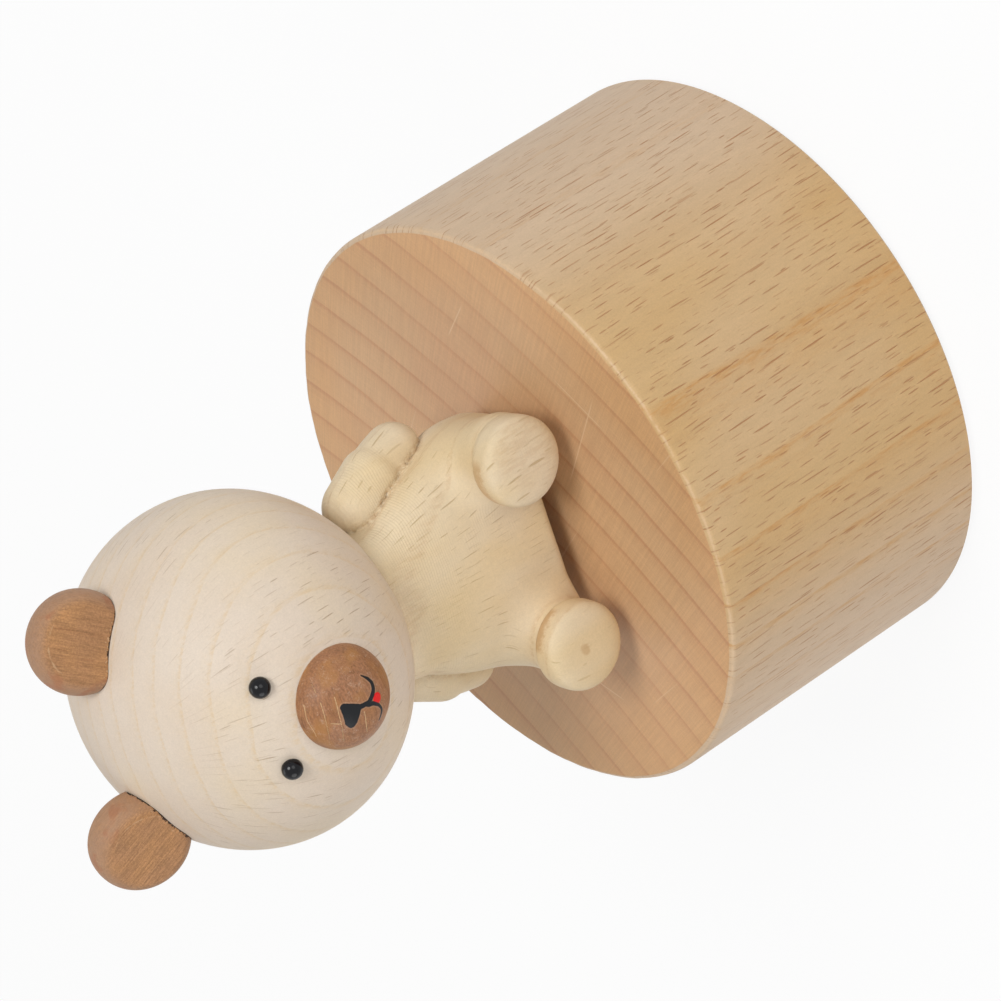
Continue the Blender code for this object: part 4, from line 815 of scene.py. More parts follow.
def in_order(grid: Array) -> Array:
    """A grid's values in the order of a closed grid's corners: the rows between the poles, then the poles."""
    return np.concatenate([grid[1:-1].reshape(-1, *grid.shape[2:]), grid[:1, 0], grid[-1:, 0]])


def closed_grid(points: Array) -> tuple[Array, Array, Array]:
    """Close a grid of rows between two poles: the first and last rows are one point each.

    Args:
        points: rows by columns by 3, whose end rows each hold one repeated point.

    Returns:
        Corners, four-sided faces and the triangles of the two poles.
    """
    rows, columns = points.shape[:2]
    low = (rows - 2) * columns
    last = low - columns
    column = np.arange(columns)
    beside = (column + 1) % columns
    bottom = np.stack([np.full(columns, low), beside, column], axis=-1)
    top = np.stack([np.full(columns, low + 1), last + column, last + beside], axis=-1)
    return in_order(points), lattice(rows - 2, columns), np.concatenate([bottom, top])


def angles(columns: int) -> Array:
    """Evenly spaced angles of a whole turn."""
    return np.arange(columns) * (TURN / columns)


def turned(outline: Array, columns: int, centre: Array, side: Array, over: Array, axis: Array) -> Array:
    """Turn an outline: its radius goes round from side to over, and its height runs along the axis.

    Args:
        outline: radius and height, n by 2.
        columns: how many points round.
        centre: where the axis starts.
        side: the unit direction of angle zero.
        over: the unit direction of a quarter turn.
        axis: the unit direction of the height.

    Returns:
        Points, n by columns by 3.
    """
    angle = angles(columns)[:, None]
    spokes = np.cos(angle) * side + np.sin(angle) * over
    return centre + outline[:, 0, None, None] * spokes + outline[:, 1, None, None] * axis


def store(mesh: Mesh, name: str, values: Array) -> None:
    """Keep a number on each corner of a mesh."""
    mesh.attributes.new(name, "FLOAT", "POINT").data.foreach_set("value", values.astype(np.float32))


def hang(name: str, data: bpy.types.ID) -> bpy.types.Object:
    """Put new data into the scene.

    Args:
        name: the object's name.
        data: its mesh, lamp or camera.

    Returns:
        The object.
    """
    item = bpy.data.objects.new(name, data)
    bpy.context.scene.collection.objects.link(item)
    return item


def dress(name: str, mesh: Mesh, finish: Material, body: str, node: str) -> None:
    """Make a piece that stands for a CAD node, and report it.

    Args:
        name: the piece's name.
        mesh: its mesh, in place.
        finish: its material.
        body: the body it rides on.
        node: the node it stands for.
    """
    mesh.materials.append(finish)
    piece = hang(name, mesh)
    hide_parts(node)
    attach(piece, body)
    LOG.info("%s: %d corners on %s", name, len(mesh.vertices), body)


@dataclass
class CaseDrum:
    """The turned beech case: outer wall with a worn top edge, arbor hole, pocket and the cover's rebate."""

    radius: float
    bottom: float
    top: float
    edge: float = 0.0007
    low_edge: float = 0.00042
    pocket_radius: float = 0.030
    pocket_top: float = 0.0289
    rebate_radius: float = 0.033
    ledge: float = 0.0051
    hole: float = 0.0023
    columns: int = 288
    chip: float = 0.00010
    chip_waves: tuple[int, ...] = (7, 12, 19, 31, 47, 71, 103)
    chip_seed: int = 3

    def profile(self) -> tuple[Array, Array]:
        """The closed outline in radius and height, up the outside first.

        Returns:
            The outline's points and how much each takes part in the edge's wear.
        """
        turn = np.radians(np.linspace(0.0, 90.0, 9))
        edge = [self.radius - self.edge * (1.0 - np.cos(turn)), self.top - self.edge * (1.0 - np.sin(turn))]
        rise = np.linspace(self.bottom + self.low_edge, self.top - self.edge, 12)[1:-1]
        reach = np.linspace(self.radius - self.edge, self.hole, 14)[1:]
        low = [(self.rebate_radius, self.bottom), (self.radius - self.low_edge, self.bottom),
               (self.radius, self.bottom + self.low_edge)]
        wall = np.column_stack([np.full_like(rise, self.radius), rise])
        face = np.column_stack([reach, np.full_like(reach, self.top)])
        inside = [(self.hole, self.pocket_top), (self.pocket_radius, self.pocket_top),
                  (self.pocket_radius, self.ledge), (self.rebate_radius, self.ledge)]
        points = np.concatenate([low, wall, np.column_stack(edge), face, inside])
        wear = np.zeros(len(points))
        start = len(low) + len(wall)
        wear[start:start + len(turn)] = np.sin(2.0 * turn).clip(0.0)
        return points, wear

    def ripple(self, angle: Array) -> Array:
        """How far the edge is worn round the case: sine waves with whole numbers of turns and seeded phases.

        Args:
            angle: angles round the case.

        Returns:
            Values of about 0 to 1.
        """
        phases = np.random.default_rng(self.chip_seed).uniform(0.0, TURN, len(self.chip_waves))
        waves = [np.sin(count * angle + phase) / math.sqrt(order + 1.0)
                 for order, (count, phase) in enumerate(zip(self.chip_waves, phases))]
        return (0.5 + 0.5 * sum(waves) / math.sqrt(len(waves))).clip(0.0)

    def build(self) -> None:
        """Turn the outline about Z, draw the worn edge in by the ripple, and dress the case."""
        outline, wear = self.profile()
        angle = angles(self.columns)
        chip = self.chip * self.ripple(angle)
        radius = outline[:, :1] - wear[:, None] * chip
        height = outline[:, 1:] - wear[:, None] * chip * 0.8
        points = np.stack([radius * np.cos(angle), radius * np.sin(angle), height], axis=-1)
        faces = lattice(len(outline), self.columns, True)
        mesh = surface("case_drum", points.reshape(-1, 3), faces, None, 38.0)
        finish = CaseBeech(self.radius, self.top, self.edge).build()
        dress("case_drum", mesh, finish, "base", "base_drum")


@dataclass
class Bear:
    """Places that the bear's pieces share: the body's underside, the head's centre and its three radii."""

    base: float
    head: Array
    radii: Array
    seam: float = 0.00002

    def over_head(self, points: Array, grow: float = 0.0) -> Array:
        """Height above the grown head: the length of the scaled point less one, times the mean radius."""
        scaled = (points - self.head) / self.radii
        return (np.linalg.norm(scaled, axis=-1) - 1.0) * self.radii.mean() - grow

    def lift(self, points: Array, direction: Array) -> Array:
        """Move points inside the head along a direction until they lie just over its surface.

        In places scaled by the head's radii the surface is a sphere, so the way to go is the larger root of a
        quadratic.

        Args:
            points: places, n by 3.
            direction: the unit vector to move along.

        Returns:
            The moved points.
        """
        start = (points - self.head) / self.radii
        step = direction / self.radii
        outside = (start ** 2).sum(axis=-1) - (1.0 + self.seam / self.radii.mean()) ** 2
        half = start @ step
        root = np.sqrt(np.maximum(half ** 2 - (step @ step) * outside, 0.0))
        ahead = np.where(outside < 0.0, (root - half) / (step @ step), 0.0)
        return points + ahead[..., None] * direction

    def on_head(self, direction: Array) -> Array:
        """Where a ray from the head's centre leaves it."""
        return self.head + direction / np.linalg.norm(direction / self.radii)


@dataclass
class Head:
    """The turned head: a spheroid, a little uneven from sanding."""

    bear: Bear
    rows: int = 190
    columns: int = 340
    uneven: float = 0.0025

    def build(self) -> None:
        """Make and dress the head."""
        down = np.linspace(0.0, math.pi, self.rows)[:, None]
        angle = angles(self.columns)
        radius = np.sin(down) * (1.0 + self.uneven * np.sin(3.0 * angle + 2.0 * down) * np.sin(down) ** 2)
        rise = -np.cos(down) + 0.0 * angle
        unit = np.stack([radius * np.cos(angle), radius * np.sin(angle), rise], axis=-1)
        mesh = surface("turned_head", *closed_grid(self.bear.head + unit * self.bear.radii), 180.0)
        finish = PaleWood(
            "pale_head", base=(0.700, 0.597, 0.492), shade=(0.690, 0.575, 0.462), glow=(0.718, 0.590, 0.425),
            fleck=(0.380, 0.240, 0.130), late=(0.66, 0.46, 0.215), centre=tuple(self.bear.head.tolist()),
            radius=0.0201, rings=Rings((0.004, 0.085), 0.0027, 0.085, 0.0010, 0.45), ring_strength=0.42,
            fleck_strength=0.62)
        dress("turned_head", mesh, finish.build(), "figure", "bear_head")


@dataclass
class Ear:
    """An ear disc seated on the head, with a narrow ragged painted shadow at its seam, whose reach is given
    in millimetres.
    """

    bear: Bear
    side: str
    out: float = 0.0119
    back: float = 0.0018
    up: float = 0.01725
    off_level: float = 0.0008
    off_centre: float = 0.0003
    proud: float = 0.0021
    off_proud: float = 0.0005
    radius: float = 0.0058
    flat: float = 0.004
    half_thick: float = 0.0028
    tilt: float = math.radians(15.0)
    scratch_inset: float = 0.0001
    scratch_half_turn: float = 0.75
    columns: int = 320
    scratch_turn: float = math.radians(115.0)
    right_scratch_turn: float = math.radians(-23.0)
    left_base: Colour = (0.350, 0.178, 0.081)
    # Reach of the painted seam shadow over the head on each ear, in millimetres.
    torn_and_gap_shade: tuple[float, float] = (0.03, 0.22)
    right_gap_shade: tuple[float, float] = (0.04, 0.32)

    def axes(self) -> tuple[Array, Array, Array, Array]:
        """The ear's centre and its three directions.

        Returns:
            Centre, sideways edge direction, upward direction in the face, and the face's normal.
        """
        sign = 1.0 if self.side == "left" else -1.0
        out = np.array([sign * self.out + self.off_centre, self.back, self.up - sign * self.off_level])
        out /= np.linalg.norm(out)
        facing = FORWARD - out * out.dot(FORWARD)
        facing /= np.linalg.norm(facing)
        facing = facing * math.cos(self.tilt) + out * math.sin(self.tilt)
        edge = np.cross(out, facing)
        edge /= np.linalg.norm(edge)
        centre = self.bear.on_head(out) + out * (self.proud - sign * self.off_proud)
        return centre, edge, np.cross(facing, edge), facing

    def profile(self) -> Array:
        """The disc's section: a domed back, a round rim and a flat face.

        Returns:
            Radius and height, n by 2.
        """
        back = np.linspace(0.0, math.pi / 2.0, 46)
        low = np.column_stack([self.radius * np.sin(back) ** 0.8, -self.half_thick * np.cos(back) ** 0.7])
        rise = np.linspace(0.0, math.pi / 2.0, 30)[1:]
        rim = self.radius - self.flat
        high = np.column_stack([self.flat + rim * np.cos(rise), self.half_thick * np.sin(rise)])
        reach = np.linspace(self.flat, 0.0, 40)[1:]
        return np.concatenate([low, high, np.column_stack([reach, np.full_like(reach, self.half_thick)])])

    def build(self) -> None:
        """Turn the disc, push the part inside the head out to its surface, and dress the ear."""
        left = self.side == "left"
        centre, edge, upward, facing = self.axes()
        outline = self.profile()
        points = turned(outline, self.columns, centre, edge, upward, facing)
        mesh = surface(f"ear_disc_{self.side}", *closed_grid(self.bear.lift(points, upward)))
        radius, level = outline[:, :1], outline[:, 1:]
        angle = angles(self.columns)
        rim = np.where(level < 0.0, 1.0, np.clip((radius - self.flat) / (self.radius - self.flat), 0.0, 1.0))
        store(mesh, "rim", in_order(rim + 0.0 * angle))
        store(mesh, "seam", in_order(self.bear.over_head(points) / MM))
        turn = self.scratch_turn if left else self.right_scratch_turn
        aside = np.abs(np.mod(angle - turn + math.pi, TURN) - math.pi)
        arc = np.abs(radius - self.flat - self.scratch_inset) / MM + np.where(level > 0.0, 0.0, 5.0)
        store(mesh, "arc", in_order(arc + np.clip(aside - self.scratch_half_turn, 0.0, 1.0)))
        base = self.left_base if left else EarWood.base
        torn_and_gap_shade = self.torn_and_gap_shade if left else self.right_gap_shade
        finish = EarWood(f"brown_ear_{self.side}", tuple(upward.tolist()), base, torn_and_gap_shade=torn_and_gap_shade)
        dress(f"ear_disc_{self.side}", mesh, finish.build(), "figure", f"ear_{self.side}")


def smooth_path(knots: Array, steps: int) -> Array:
    """A Catmull-Rom curve through its knots.

    Args:
        knots: the points that it passes, n by the number of their parts.
        steps: points on each span.

    Returns:
        The curve's points.
    """
    padded = np.concatenate([knots[:1], knots, knots[-1:]])
    share = np.linspace(0.0, 1.0, steps, endpoint=False)[:, None, None]
    a, b, c, d = padded[:-3], padded[1:-2], padded[2:-1], padded[3:]
    spans = 0.5 * (2.0 * b + (c - a) * share + (2.0 * a - 5.0 * b + 4.0 * c - d) * share ** 2
                   + (3.0 * b - a - 3.0 * c + d) * share ** 3)
    return np.concatenate([spans.transpose(1, 0, 2).reshape(-1, knots.shape[1]), knots[-1:]])


def stroke(points: Array, path: Array) -> Array:
    """Distance to a painted stroke whose half width changes along it.

    The nearest place on each piece of the path is found by projection, and the least of the distances less
    the half width there is kept.

    Args:
        points: places in the plane, n by 2.
        path: X, Z and half width of the stroke's points, m by 3.

    Returns:
        The distances, negative inside.
    """
    best = np.full(len(points), np.inf)
    for start, end in zip(path[:-1], path[1:]):
        along = end[:2] - start[:2]
        share = np.clip((points - start[:2]) @ along / max(along @ along, 1e-12), 0.0, 1.0)
        far = np.linalg.norm(points - start[:2] - share[:, None] * along, axis=1)
        best = np.minimum(best, far - (start[2] + (end[2] - start[2]) * share))
    return best


def patch(points: Array, corners: Array, round_by: float) -> Array:
    """Distance to a filled outline with rounded corners: that of its straight sides, less the rounding.

    Args:
        points: places in the plane, n by 2.
        corners: the outline's corners, anticlockwise.
        round_by: the radius added all round.

    Returns:
        The distances, negative inside.
    """
    far = np.full(len(points), np.inf)
    inside = np.ones(len(points), dtype=bool)
    for start, end in zip(corners, np.roll(corners, -1, axis=0)):
        along = end - start
        offset = points - start
        share = np.clip(offset @ along / (along @ along), 0.0, 1.0)
        far = np.minimum(far, np.linalg.norm(offset - share[:, None] * along, axis=1))
        inside &= along[0] * offset[:, 1] - along[1] * offset[:, 0] > 0.0
    return np.where(inside, -far, far) - round_by


@dataclass
class Muzzle:
    """The muzzle's dome with its painted face.
    Paint is X, Z and half width from the dome's centre, in millimetres."""

    bear: Bear
    sink: float = 0.0009
    aside: float = 0.00012
    up: float = 0.0005
    radius: float = 0.00575
    half_depth: float = 0.0045
    rows: int = 150
    columns: int = 256
    nose: Path = ((0.66, 2.42), (-1.20, 2.44), (-1.58, 2.18), (-1.36, 1.90), (-0.08, 1.06))
    nose_round: float = 0.42
    left_hook: Path = (
        (-0.10, 0.90, 0.30), (-0.20, 0.10, 0.27), (-0.16, -0.49, 0.27), (0.21, -1.11, 0.29),
        (0.69, -1.57, 0.27), (1.34, -1.74, 0.23), (2.01, -1.49, 0.18), (2.68, -0.93, 0.06))
    right_hook: Path = (
        (-0.20, 0.10, 0.24), (-0.42, -0.35, 0.30), (-0.71, -0.97, 0.24), (-1.27, -1.60, 0.18),
        (-1.97, -1.94, 0.16), (-2.53, -1.80, 0.17), (-3.12, -1.35, 0.06))
    tongue: Spot = (-0.43, -1.66, 0.62)
    scratches: tuple[Path, ...] = (
        ((2.02, 4.19), (0.56, 4.38), (-1.11, 4.47), (-3.06, 4.31)),
        ((2.05, 2.86), (-0.11, 3.19), (-2.51, 3.21), (-3.34, 3.11)),
        ((-0.90, 0.49), (-2.46, 0.56), (-3.60, 0.45)), ((3.84, 3.79), (3.01, 4.03)),
        ((2.06, 5.22), (0.24, 5.56), (-1.94, 5.20)), ((-0.55, 4.12), (-0.95, 3.40)))
    scratch_half: float = 0.053

    def build(self) -> None:
        """Turn the dome about Y, push its back out to the head, paint it and dress it.

        A scratch keeps its width where the dome turns away, because its distance in the plane is divided by
        the dome's slope there.
        """
        centre = self.bear.head + np.array([self.aside, self.sink - self.bear.radii[1], self.up])
        down = np.linspace(0.0, math.pi, self.rows)
        outline = np.column_stack([self.radius * np.sin(down), self.half_depth * np.cos(down)])
        right, back, up = np.eye(3)
        points = turned(outline, self.columns, centre, right, up, back)
        corners, quads, tris = closed_grid(self.bear.lift(points, FORWARD))
        mesh = surface("muzzle_dome", corners, quads, tris)
        flat = (corners - centre)[:, [0, 2]] / MM
        hooks = [stroke(flat, smooth_path(np.array(hook), 6)) for hook in (self.left_hook, self.right_hook)]
        nose = patch(flat, np.array(self.nose), self.nose_round)
        store(mesh, "paint", np.min([nose, *hooks], axis=0))
        store(mesh, "tongue", np.linalg.norm(flat - self.tongue[:2], axis=1) - self.tongue[2])
        slope = np.sqrt(np.clip(1.0 - (flat ** 2).sum(axis=1) / (self.radius / MM) ** 2, 0.1, 1.0))
        paths = [np.column_stack([path, np.zeros(len(path))]) for path in self.scratches]
        lines = [stroke(flat, smooth_path(path, 5)) for path in paths]
        store(mesh, "scratch", np.min(lines, axis=0) / slope - self.scratch_half)
        store(mesh, "seam", in_order(self.bear.over_head(points) / MM))
        finish = MuzzleWood("brown_muzzle", (1.0, 0.0, 0.1))
        dress("muzzle_dome", mesh, finish.build(), "figure", "muzzle")


@dataclass
class Eye:
    """A glossy bead on its stem."""

    bear: Bear
    side: str
    out: float = 0.005
    aside: float = 0.0002
    up: float = 0.0083
    right_drop: float = 0.0002
    radius: float = 0.0012
    flatness: float = 0.93
    waist: float = -0.225 * math.pi
    stem: float = 0.0005
    depth: float = 0.0035
    lift: float = 0.00025
    columns: int = 56

    def build(self, finish: Material) -> None:
        """Turn the bead about the head's normal: dome over a short waist, stem into the head.

        Args:
            finish: the bead's material.
        """
        x, rise = self.out + self.aside, self.up
        if self.side == "right":
            x, rise = self.aside - self.out, self.up - self.right_drop
        radii = self.bear.radii
        forward = -math.sqrt(1.0 - (x / radii[0]) ** 2 - (rise / radii[2]) ** 2) * radii[1]
        spot = np.array([x, forward, rise])
        normal = spot / radii ** 2
        normal /= np.linalg.norm(normal)
        side = np.cross(normal, [0.0, 0.0, 1.0])
        side /= np.linalg.norm(side)
        dome = np.linspace(self.waist, math.pi / 2.0, 26)
        stem = [(0.0, -self.depth), (self.stem, -self.depth + self.stem), (self.stem, -0.3 * self.radius)]
        bead = [self.radius * np.cos(dome), self.lift + self.radius * np.sin(dome) * self.flatness]
        outline = np.concatenate([stem, np.column_stack(bead)])
        points = turned(outline, self.columns, self.bear.head + spot, side, np.cross(normal, side), normal)
        mesh = surface(f"eye_bead_{self.side}", *closed_grid(points), 70.0)
        dress(f"eye_bead_{self.side}", mesh, finish, "figure", f"eye_{self.side}")


def smallest(first: Array, second: Array, blend: float) -> Array:
    """The smooth minimum of two distance fields: a parabola joins them where they are within the blend."""
    share = np.clip(0.5 + 0.5 * (second - first) / blend, 0.0, 1.0)
    return second * (1.0 - share) + first * share - blend * share * (1.0 - share)


def limb(points: Array, start: Array, end: Array, start_radius: float, end_radius: Array | float) -> Array:
    """Distance to a round limb: that to its axis less a radius that changes evenly along it.

    Args:
        points: places, n by 3.
        start: one end of the axis.
        end: the other end.
        start_radius: the radius at the first end.
        end_radius: the radius at the other end.

    Returns:
        The distances, negative inside.
    """
    along = end - start
    share = np.clip((points - start) @ along / (along @ along), 0.0, 1.0)
    radius = start_radius + (end_radius - start_radius) * share
    return np.linalg.norm(points - start - share[:, None] * along, axis=1) - radius


@dataclass
class Body:
    """The carved body: torso, legs, feet and arms as one distance field, with torn grooves where they meet.
    Heights are from the body's underside."""

    bear: Bear
    half_low: float = 0.0135
    half_top: float = 0.0092
    side_crown: float = 0.002
    depth_low: float = 0.0075
    depth_top: float = 0.0056
    depth_back: float = 0.0088
    centre_y: float = -0.003
    taper: float = 0.0203
    top: float = 0.0243
    seat_lift: float = 0.0015
    seat_round: float = 0.0012
    top_round: float = 0.00175
    square_front: float = 3.4
    square_back: float = 2.3
    hip: Spot = (0.0086, -0.0029, 0.0061)
    hip_radius: float = 0.005
    ankle_radius: float = 0.0046
    right_ankle: float = 0.0041
    ankle_drop: float = 0.0006
    ankle_out: float = 0.0001
    ankle_back: float = 0.0008
    foot: Spot = (0.0116, -0.0164, 0.0063)
    foot_radius: float = 0.0051
    foot_half: float = 0.0021
    foot_power: float = 4.0
    foot_splay: float = math.radians(1.0)
    foot_tilt: float = math.radians(2.0)
    shoulder: Spot = (0.0101, 0.0003, 0.0184)
    shoulder_radius: float = 0.0039
    elbow: Spot = (0.0121, 0.0004, 0.0152)
    elbow_radius: float = 0.0037
    hand: Spot = (0.0133, 0.0009, 0.0112)
    hand_radius: float = 0.0033
    blend: float = 0.0026
    crease: float = 0.0008
    arm_crease: float = 0.0004
    groove: float = 0.00050
    groove_width: float = 0.00040
    groove_look: float = 0.0006
    neck: float = 0.0006
    insert_radius: float = 0.0032
    insert_top: float = 0.0093
    cell: float = 0.00030
    net_inset: float = 0.001
    fibres: Path = ((4, 0.00055, 0.55), (9, 0.00026, 0.45))
    fibre_lattice: int = 17

    def torso(self, points: Array) -> Array:
        """Distance to the torso.

        The section at each height is a superellipse: |x/width|^p + |y/depth|^p = 1, with a flatter front than
        back; width and depth narrow evenly upwards, and a parabola crowns the sides.

        Args:
            points: places, n by 3.

        Returns:
            The distances, negative inside.
        """
        x, y, z = points.T - np.array([[0.0], [self.centre_y], [0.0]])
        share = np.clip(z / self.taper, -0.3, 1.3)
        inside = np.clip(share, 0.0, 1.0)
        crown = self.side_crown * 4.0 * inside * (1.0 - inside)
        half = self.half_low + (self.half_top - self.half_low) * share + crown
        front = self.depth_low + (self.depth_top - self.depth_low) * share
        depth = np.where(y > 0.0, self.depth_back, front)
        power = np.where(y > 0.0, self.square_back, self.square_front)
        ratio = np.maximum((np.abs(x) / half) ** power + (np.abs(y) / depth) ** power, 1e-9) ** (1.0 / power)
        far = np.where(ratio < 0.1, -0.8 * front, (ratio - 1.0) * np.hypot(x, y) / np.maximum(ratio, 1e-6))
        far = -smallest(-far, z - self.seat_lift, self.seat_round)
        return -smallest(-far, self.top - z, self.top_round)

    def sole(self, points: Array) -> Array:
        """Distance to a foot: a thick disc whose section is a superellipse and whose sole faces forward.

        Args:
            points: places with X measured outwards, n by 3.

        Returns:
            The distances, negative inside.
        """
        normal = np.array((math.sin(self.foot_splay) * math.cos(self.foot_tilt),
                           -math.cos(self.foot_splay) * math.cos(self.foot_tilt), math.sin(self.foot_tilt)))
        offset = points - (np.array(self.foot) - normal * self.foot_half)
        along = offset @ normal
        across = np.linalg.norm(offset - along[:, None] * normal, axis=1)
        power = self.foot_power
        spread = (across / self.foot_radius) ** power + (np.abs(along) / self.foot_half) ** power
        ratio = np.maximum(spread, 1e-9) ** (1.0 / power)
        return (ratio - 1.0) * np.hypot(across, along) / np.maximum(ratio, 1e-3)

    def bell(self, first: Array, second: Array) -> Array:
        """A bell curve of the difference between two fields, for the groove where they meet."""
        return self.groove * np.exp(-((first - second) / self.groove_width) ** 2)

    def rough(self, points: Array) -> Array:
        """Torn fibres: seeded random values on two lattices, mixed between the eight nearest corners.

        Args:
            points: places, n by 3.

        Returns:
            Values from -1 to 1.
        """
        total = np.zeros(len(points))
        count = self.fibre_lattice
        for seed, size, share in self.fibres:
            values = np.random.default_rng(seed).uniform(-1.0, 1.0, (count, count, count))
            place = points / size
            low = np.floor(place).astype(int)
            part = place - low
            part = part * part * (3.0 - 2.0 * part)
            for corner in np.ndindex(2, 2, 2):
                weight = np.prod(np.where(corner, part, 1.0 - part), axis=1)
                total += share * weight * values[tuple(((low + corner) % count).T)]
        return total

    def fields(self, points: Array) -> tuple[Array, Array]:
        """The two parts that the body is made of.

        Args:
            points: places measured from the body's underside, n by 3.

        Returns:
            Distances to the torso with its legs and feet, and to the arms.
        """
        side = np.abs(points * (1.0, 0.0, 0.0)) + points * (0.0, 1.0, 1.0)
        hip, foot, shoulder, elbow, hand = (
            np.array(spot) for spot in (self.hip, self.foot, self.shoulder, self.elbow, self.hand))
        ankle = foot + np.array((self.ankle_out, 2.0 * self.foot_half + self.ankle_back, -self.ankle_drop))
        ankle_radius = np.where(points[:, 0] > 0.0, self.ankle_radius, self.right_ankle)
        far = smallest(self.torso(points), limb(side, hip, ankle, self.hip_radius, ankle_radius), self.blend)
        far = smallest(far, self.sole(side), self.crease)
        upper = limb(side, shoulder, elbow, self.shoulder_radius, self.elbow_radius)
        lower = limb(side, elbow + 0.45 * (hand - elbow), hand, self.hand_radius * 1.04, self.hand_radius)
        return far, smallest(upper, lower, self.crease) + 0.4 * self.bell(upper, lower)

    def distance(self, points: Array) -> Array:
        """Distance to the whole body: arms in uneven grooves, less the head's room and the insert's hole.

        Args:
            points: places measured from the body's underside, n by 3.

        Returns:
            The distances, negative inside.
        """
        rest, arms = self.fields(points)
        far = smallest(rest, arms, self.arm_crease) + self.bell(rest, arms) * (0.6 + 0.9 * self.rough(points))
        head = self.bear.over_head(points + np.array((0.0, 0.0, self.bear.base)), -self.neck)
        reach = np.hypot(points[:, 0], points[:, 1]) - self.insert_radius
        hole = np.maximum(reach, points[:, 2] - self.insert_top)
        return np.max([far, -head, -hole], axis=0)

    def net(self) -> tuple[Array, Array]:
        """The surface where the field is zero.

        Each grid cell that the surface crosses gets one corner, at the mean of the crossings on its edges;
        each grid edge that it crosses gets a face through the four cells round it; two short steps down the
        field's slope then bring the corners onto the surface.

        Returns:
            Corners and four-sided faces.
        """
        cell = self.cell
        reach = self.shoulder[0] + 2.0 * self.foot_radius - self.net_inset
        low = np.array((-reach - cell / 2.0, self.foot[1] - self.foot_radius, -2.0 * cell))
        high = np.array((reach, self.depth_back, self.top + cell))
        counts = np.ceil((high - low) / cell).astype(int) + 1
        lines = [start + cell * np.arange(count) for start, count in zip(low, counts)]
        grid = np.stack(np.meshgrid(*lines, indexing="ij"), axis=-1)
        values = self.distance(grid.reshape(-1, 3)).reshape(counts)
        inside = values < 0.0
        cells = counts - 1
        axes = np.eye(3, dtype=int)
        total = np.zeros((*cells, 3))
        crossings = np.zeros(cells)
        for axis, (one, two) in ((axis, pair) for axis in range(3) for pair in np.ndindex(2, 2)):
            start = np.roll([0, one, two], axis)
            near = tuple(slice(i, i + n) for i, n in zip(start, cells))
            far = tuple(slice(i, i + n) for i, n in zip(start + axes[axis], cells))
            split = inside[near] != inside[far]
            share = values[near] / np.where(split, values[near] - values[far], 1.0)
            total += np.where(split[..., None], start + share[..., None] * axes[axis], 0.0)
            crossings += split
        crossed = tuple(np.argwhere(crossings > 0).T)
        number = np.full(cells, -1)
        number[crossed] = np.arange(len(crossed[0]))
        mean = total[crossed] / crossings[crossed][:, None]
        points = low + cell * (np.stack(crossed, axis=1) + mean)
        step = cell * 0.1
        for _ in range(2):
            ahead = [self.distance(points + step * axis) for axis in axes]
            behind = [self.distance(points - step * axis) for axis in axes]
            slope = np.subtract(ahead, behind).T / (2.0 * step)
            shift = slope * (self.distance(points) / np.maximum((slope ** 2).sum(axis=1), 0.25))[:, None]
            points = points - np.clip(shift, -0.3 * cell, 0.3 * cell)
        faces = []
        for axis in range(3):
            one, two = axes[(axis + 1) % 3], axes[(axis + 2) % 3]
            edges = np.argwhere(np.diff(inside.astype(int), axis=axis) != 0)
            backs = (one + two, two, 0 * one, one)
            round_edge = np.stack([number[tuple((edges - back).T)] for back in backs], axis=1)
            flip = ~inside[tuple(edges.T)]
            round_edge[flip] = round_edge[flip][:, ::-1]
            faces.append(round_edge)
        return points, np.concatenate(faces)

    def marks(self) -> tuple[Knot, Crease, Crease]:
        """The knot on the right sole and the darker brown lines along the creases above both soles.

        Returns:
            The three marks.
        """
        x, y, z = self.foot[0], self.foot[1], self.foot[2] + self.bear.base
        knot = Knot((0.0001 - x, y, z + 0.0006), 0.0007, 0.50)
        left = Crease((x, y + 0.0028, z), 0.0055, math.radians(112.0), math.radians(52.0), 0.0014, 0.62)
        right = Crease((-x, y + 0.0032, z), 0.0053, math.radians(42.0), math.radians(34.0), 0.0016, 0.70)
        return knot, left, right

    def build(self) -> None:
        """Make and dress the body."""
        points, quads = self.net()
        mesh = surface("carved_body", points + np.array((0.0, 0.0, self.bear.base)), quads, None, 75.0)
        rest, arms = self.fields(points)
        groove = np.exp(-((rest - arms) / self.groove_look) ** 2)
        store(mesh, "groove", groove * (np.abs(points[:, 0]) > self.half_top))
        finish = PaleWood(
            "pale_body", base=(0.735, 0.602, 0.412), shade=(0.715, 0.556, 0.332), glow=(0.750, 0.638, 0.480),
            fleck=(0.430, 0.270, 0.105), late=(0.50, 0.29, 0.125), radius=0.0125,
            centre=(0.0, self.centre_y, self.bear.base),
            rings=Rings((0.006, 0.060), 0.0042, 0.060, 0.0012, 0.45), ring_strength=0.28,
            fleck_strength=0.55, carved=True, marks=self.marks())
        dress("carved_body", mesh, finish.build(), "figure", "bear_body")


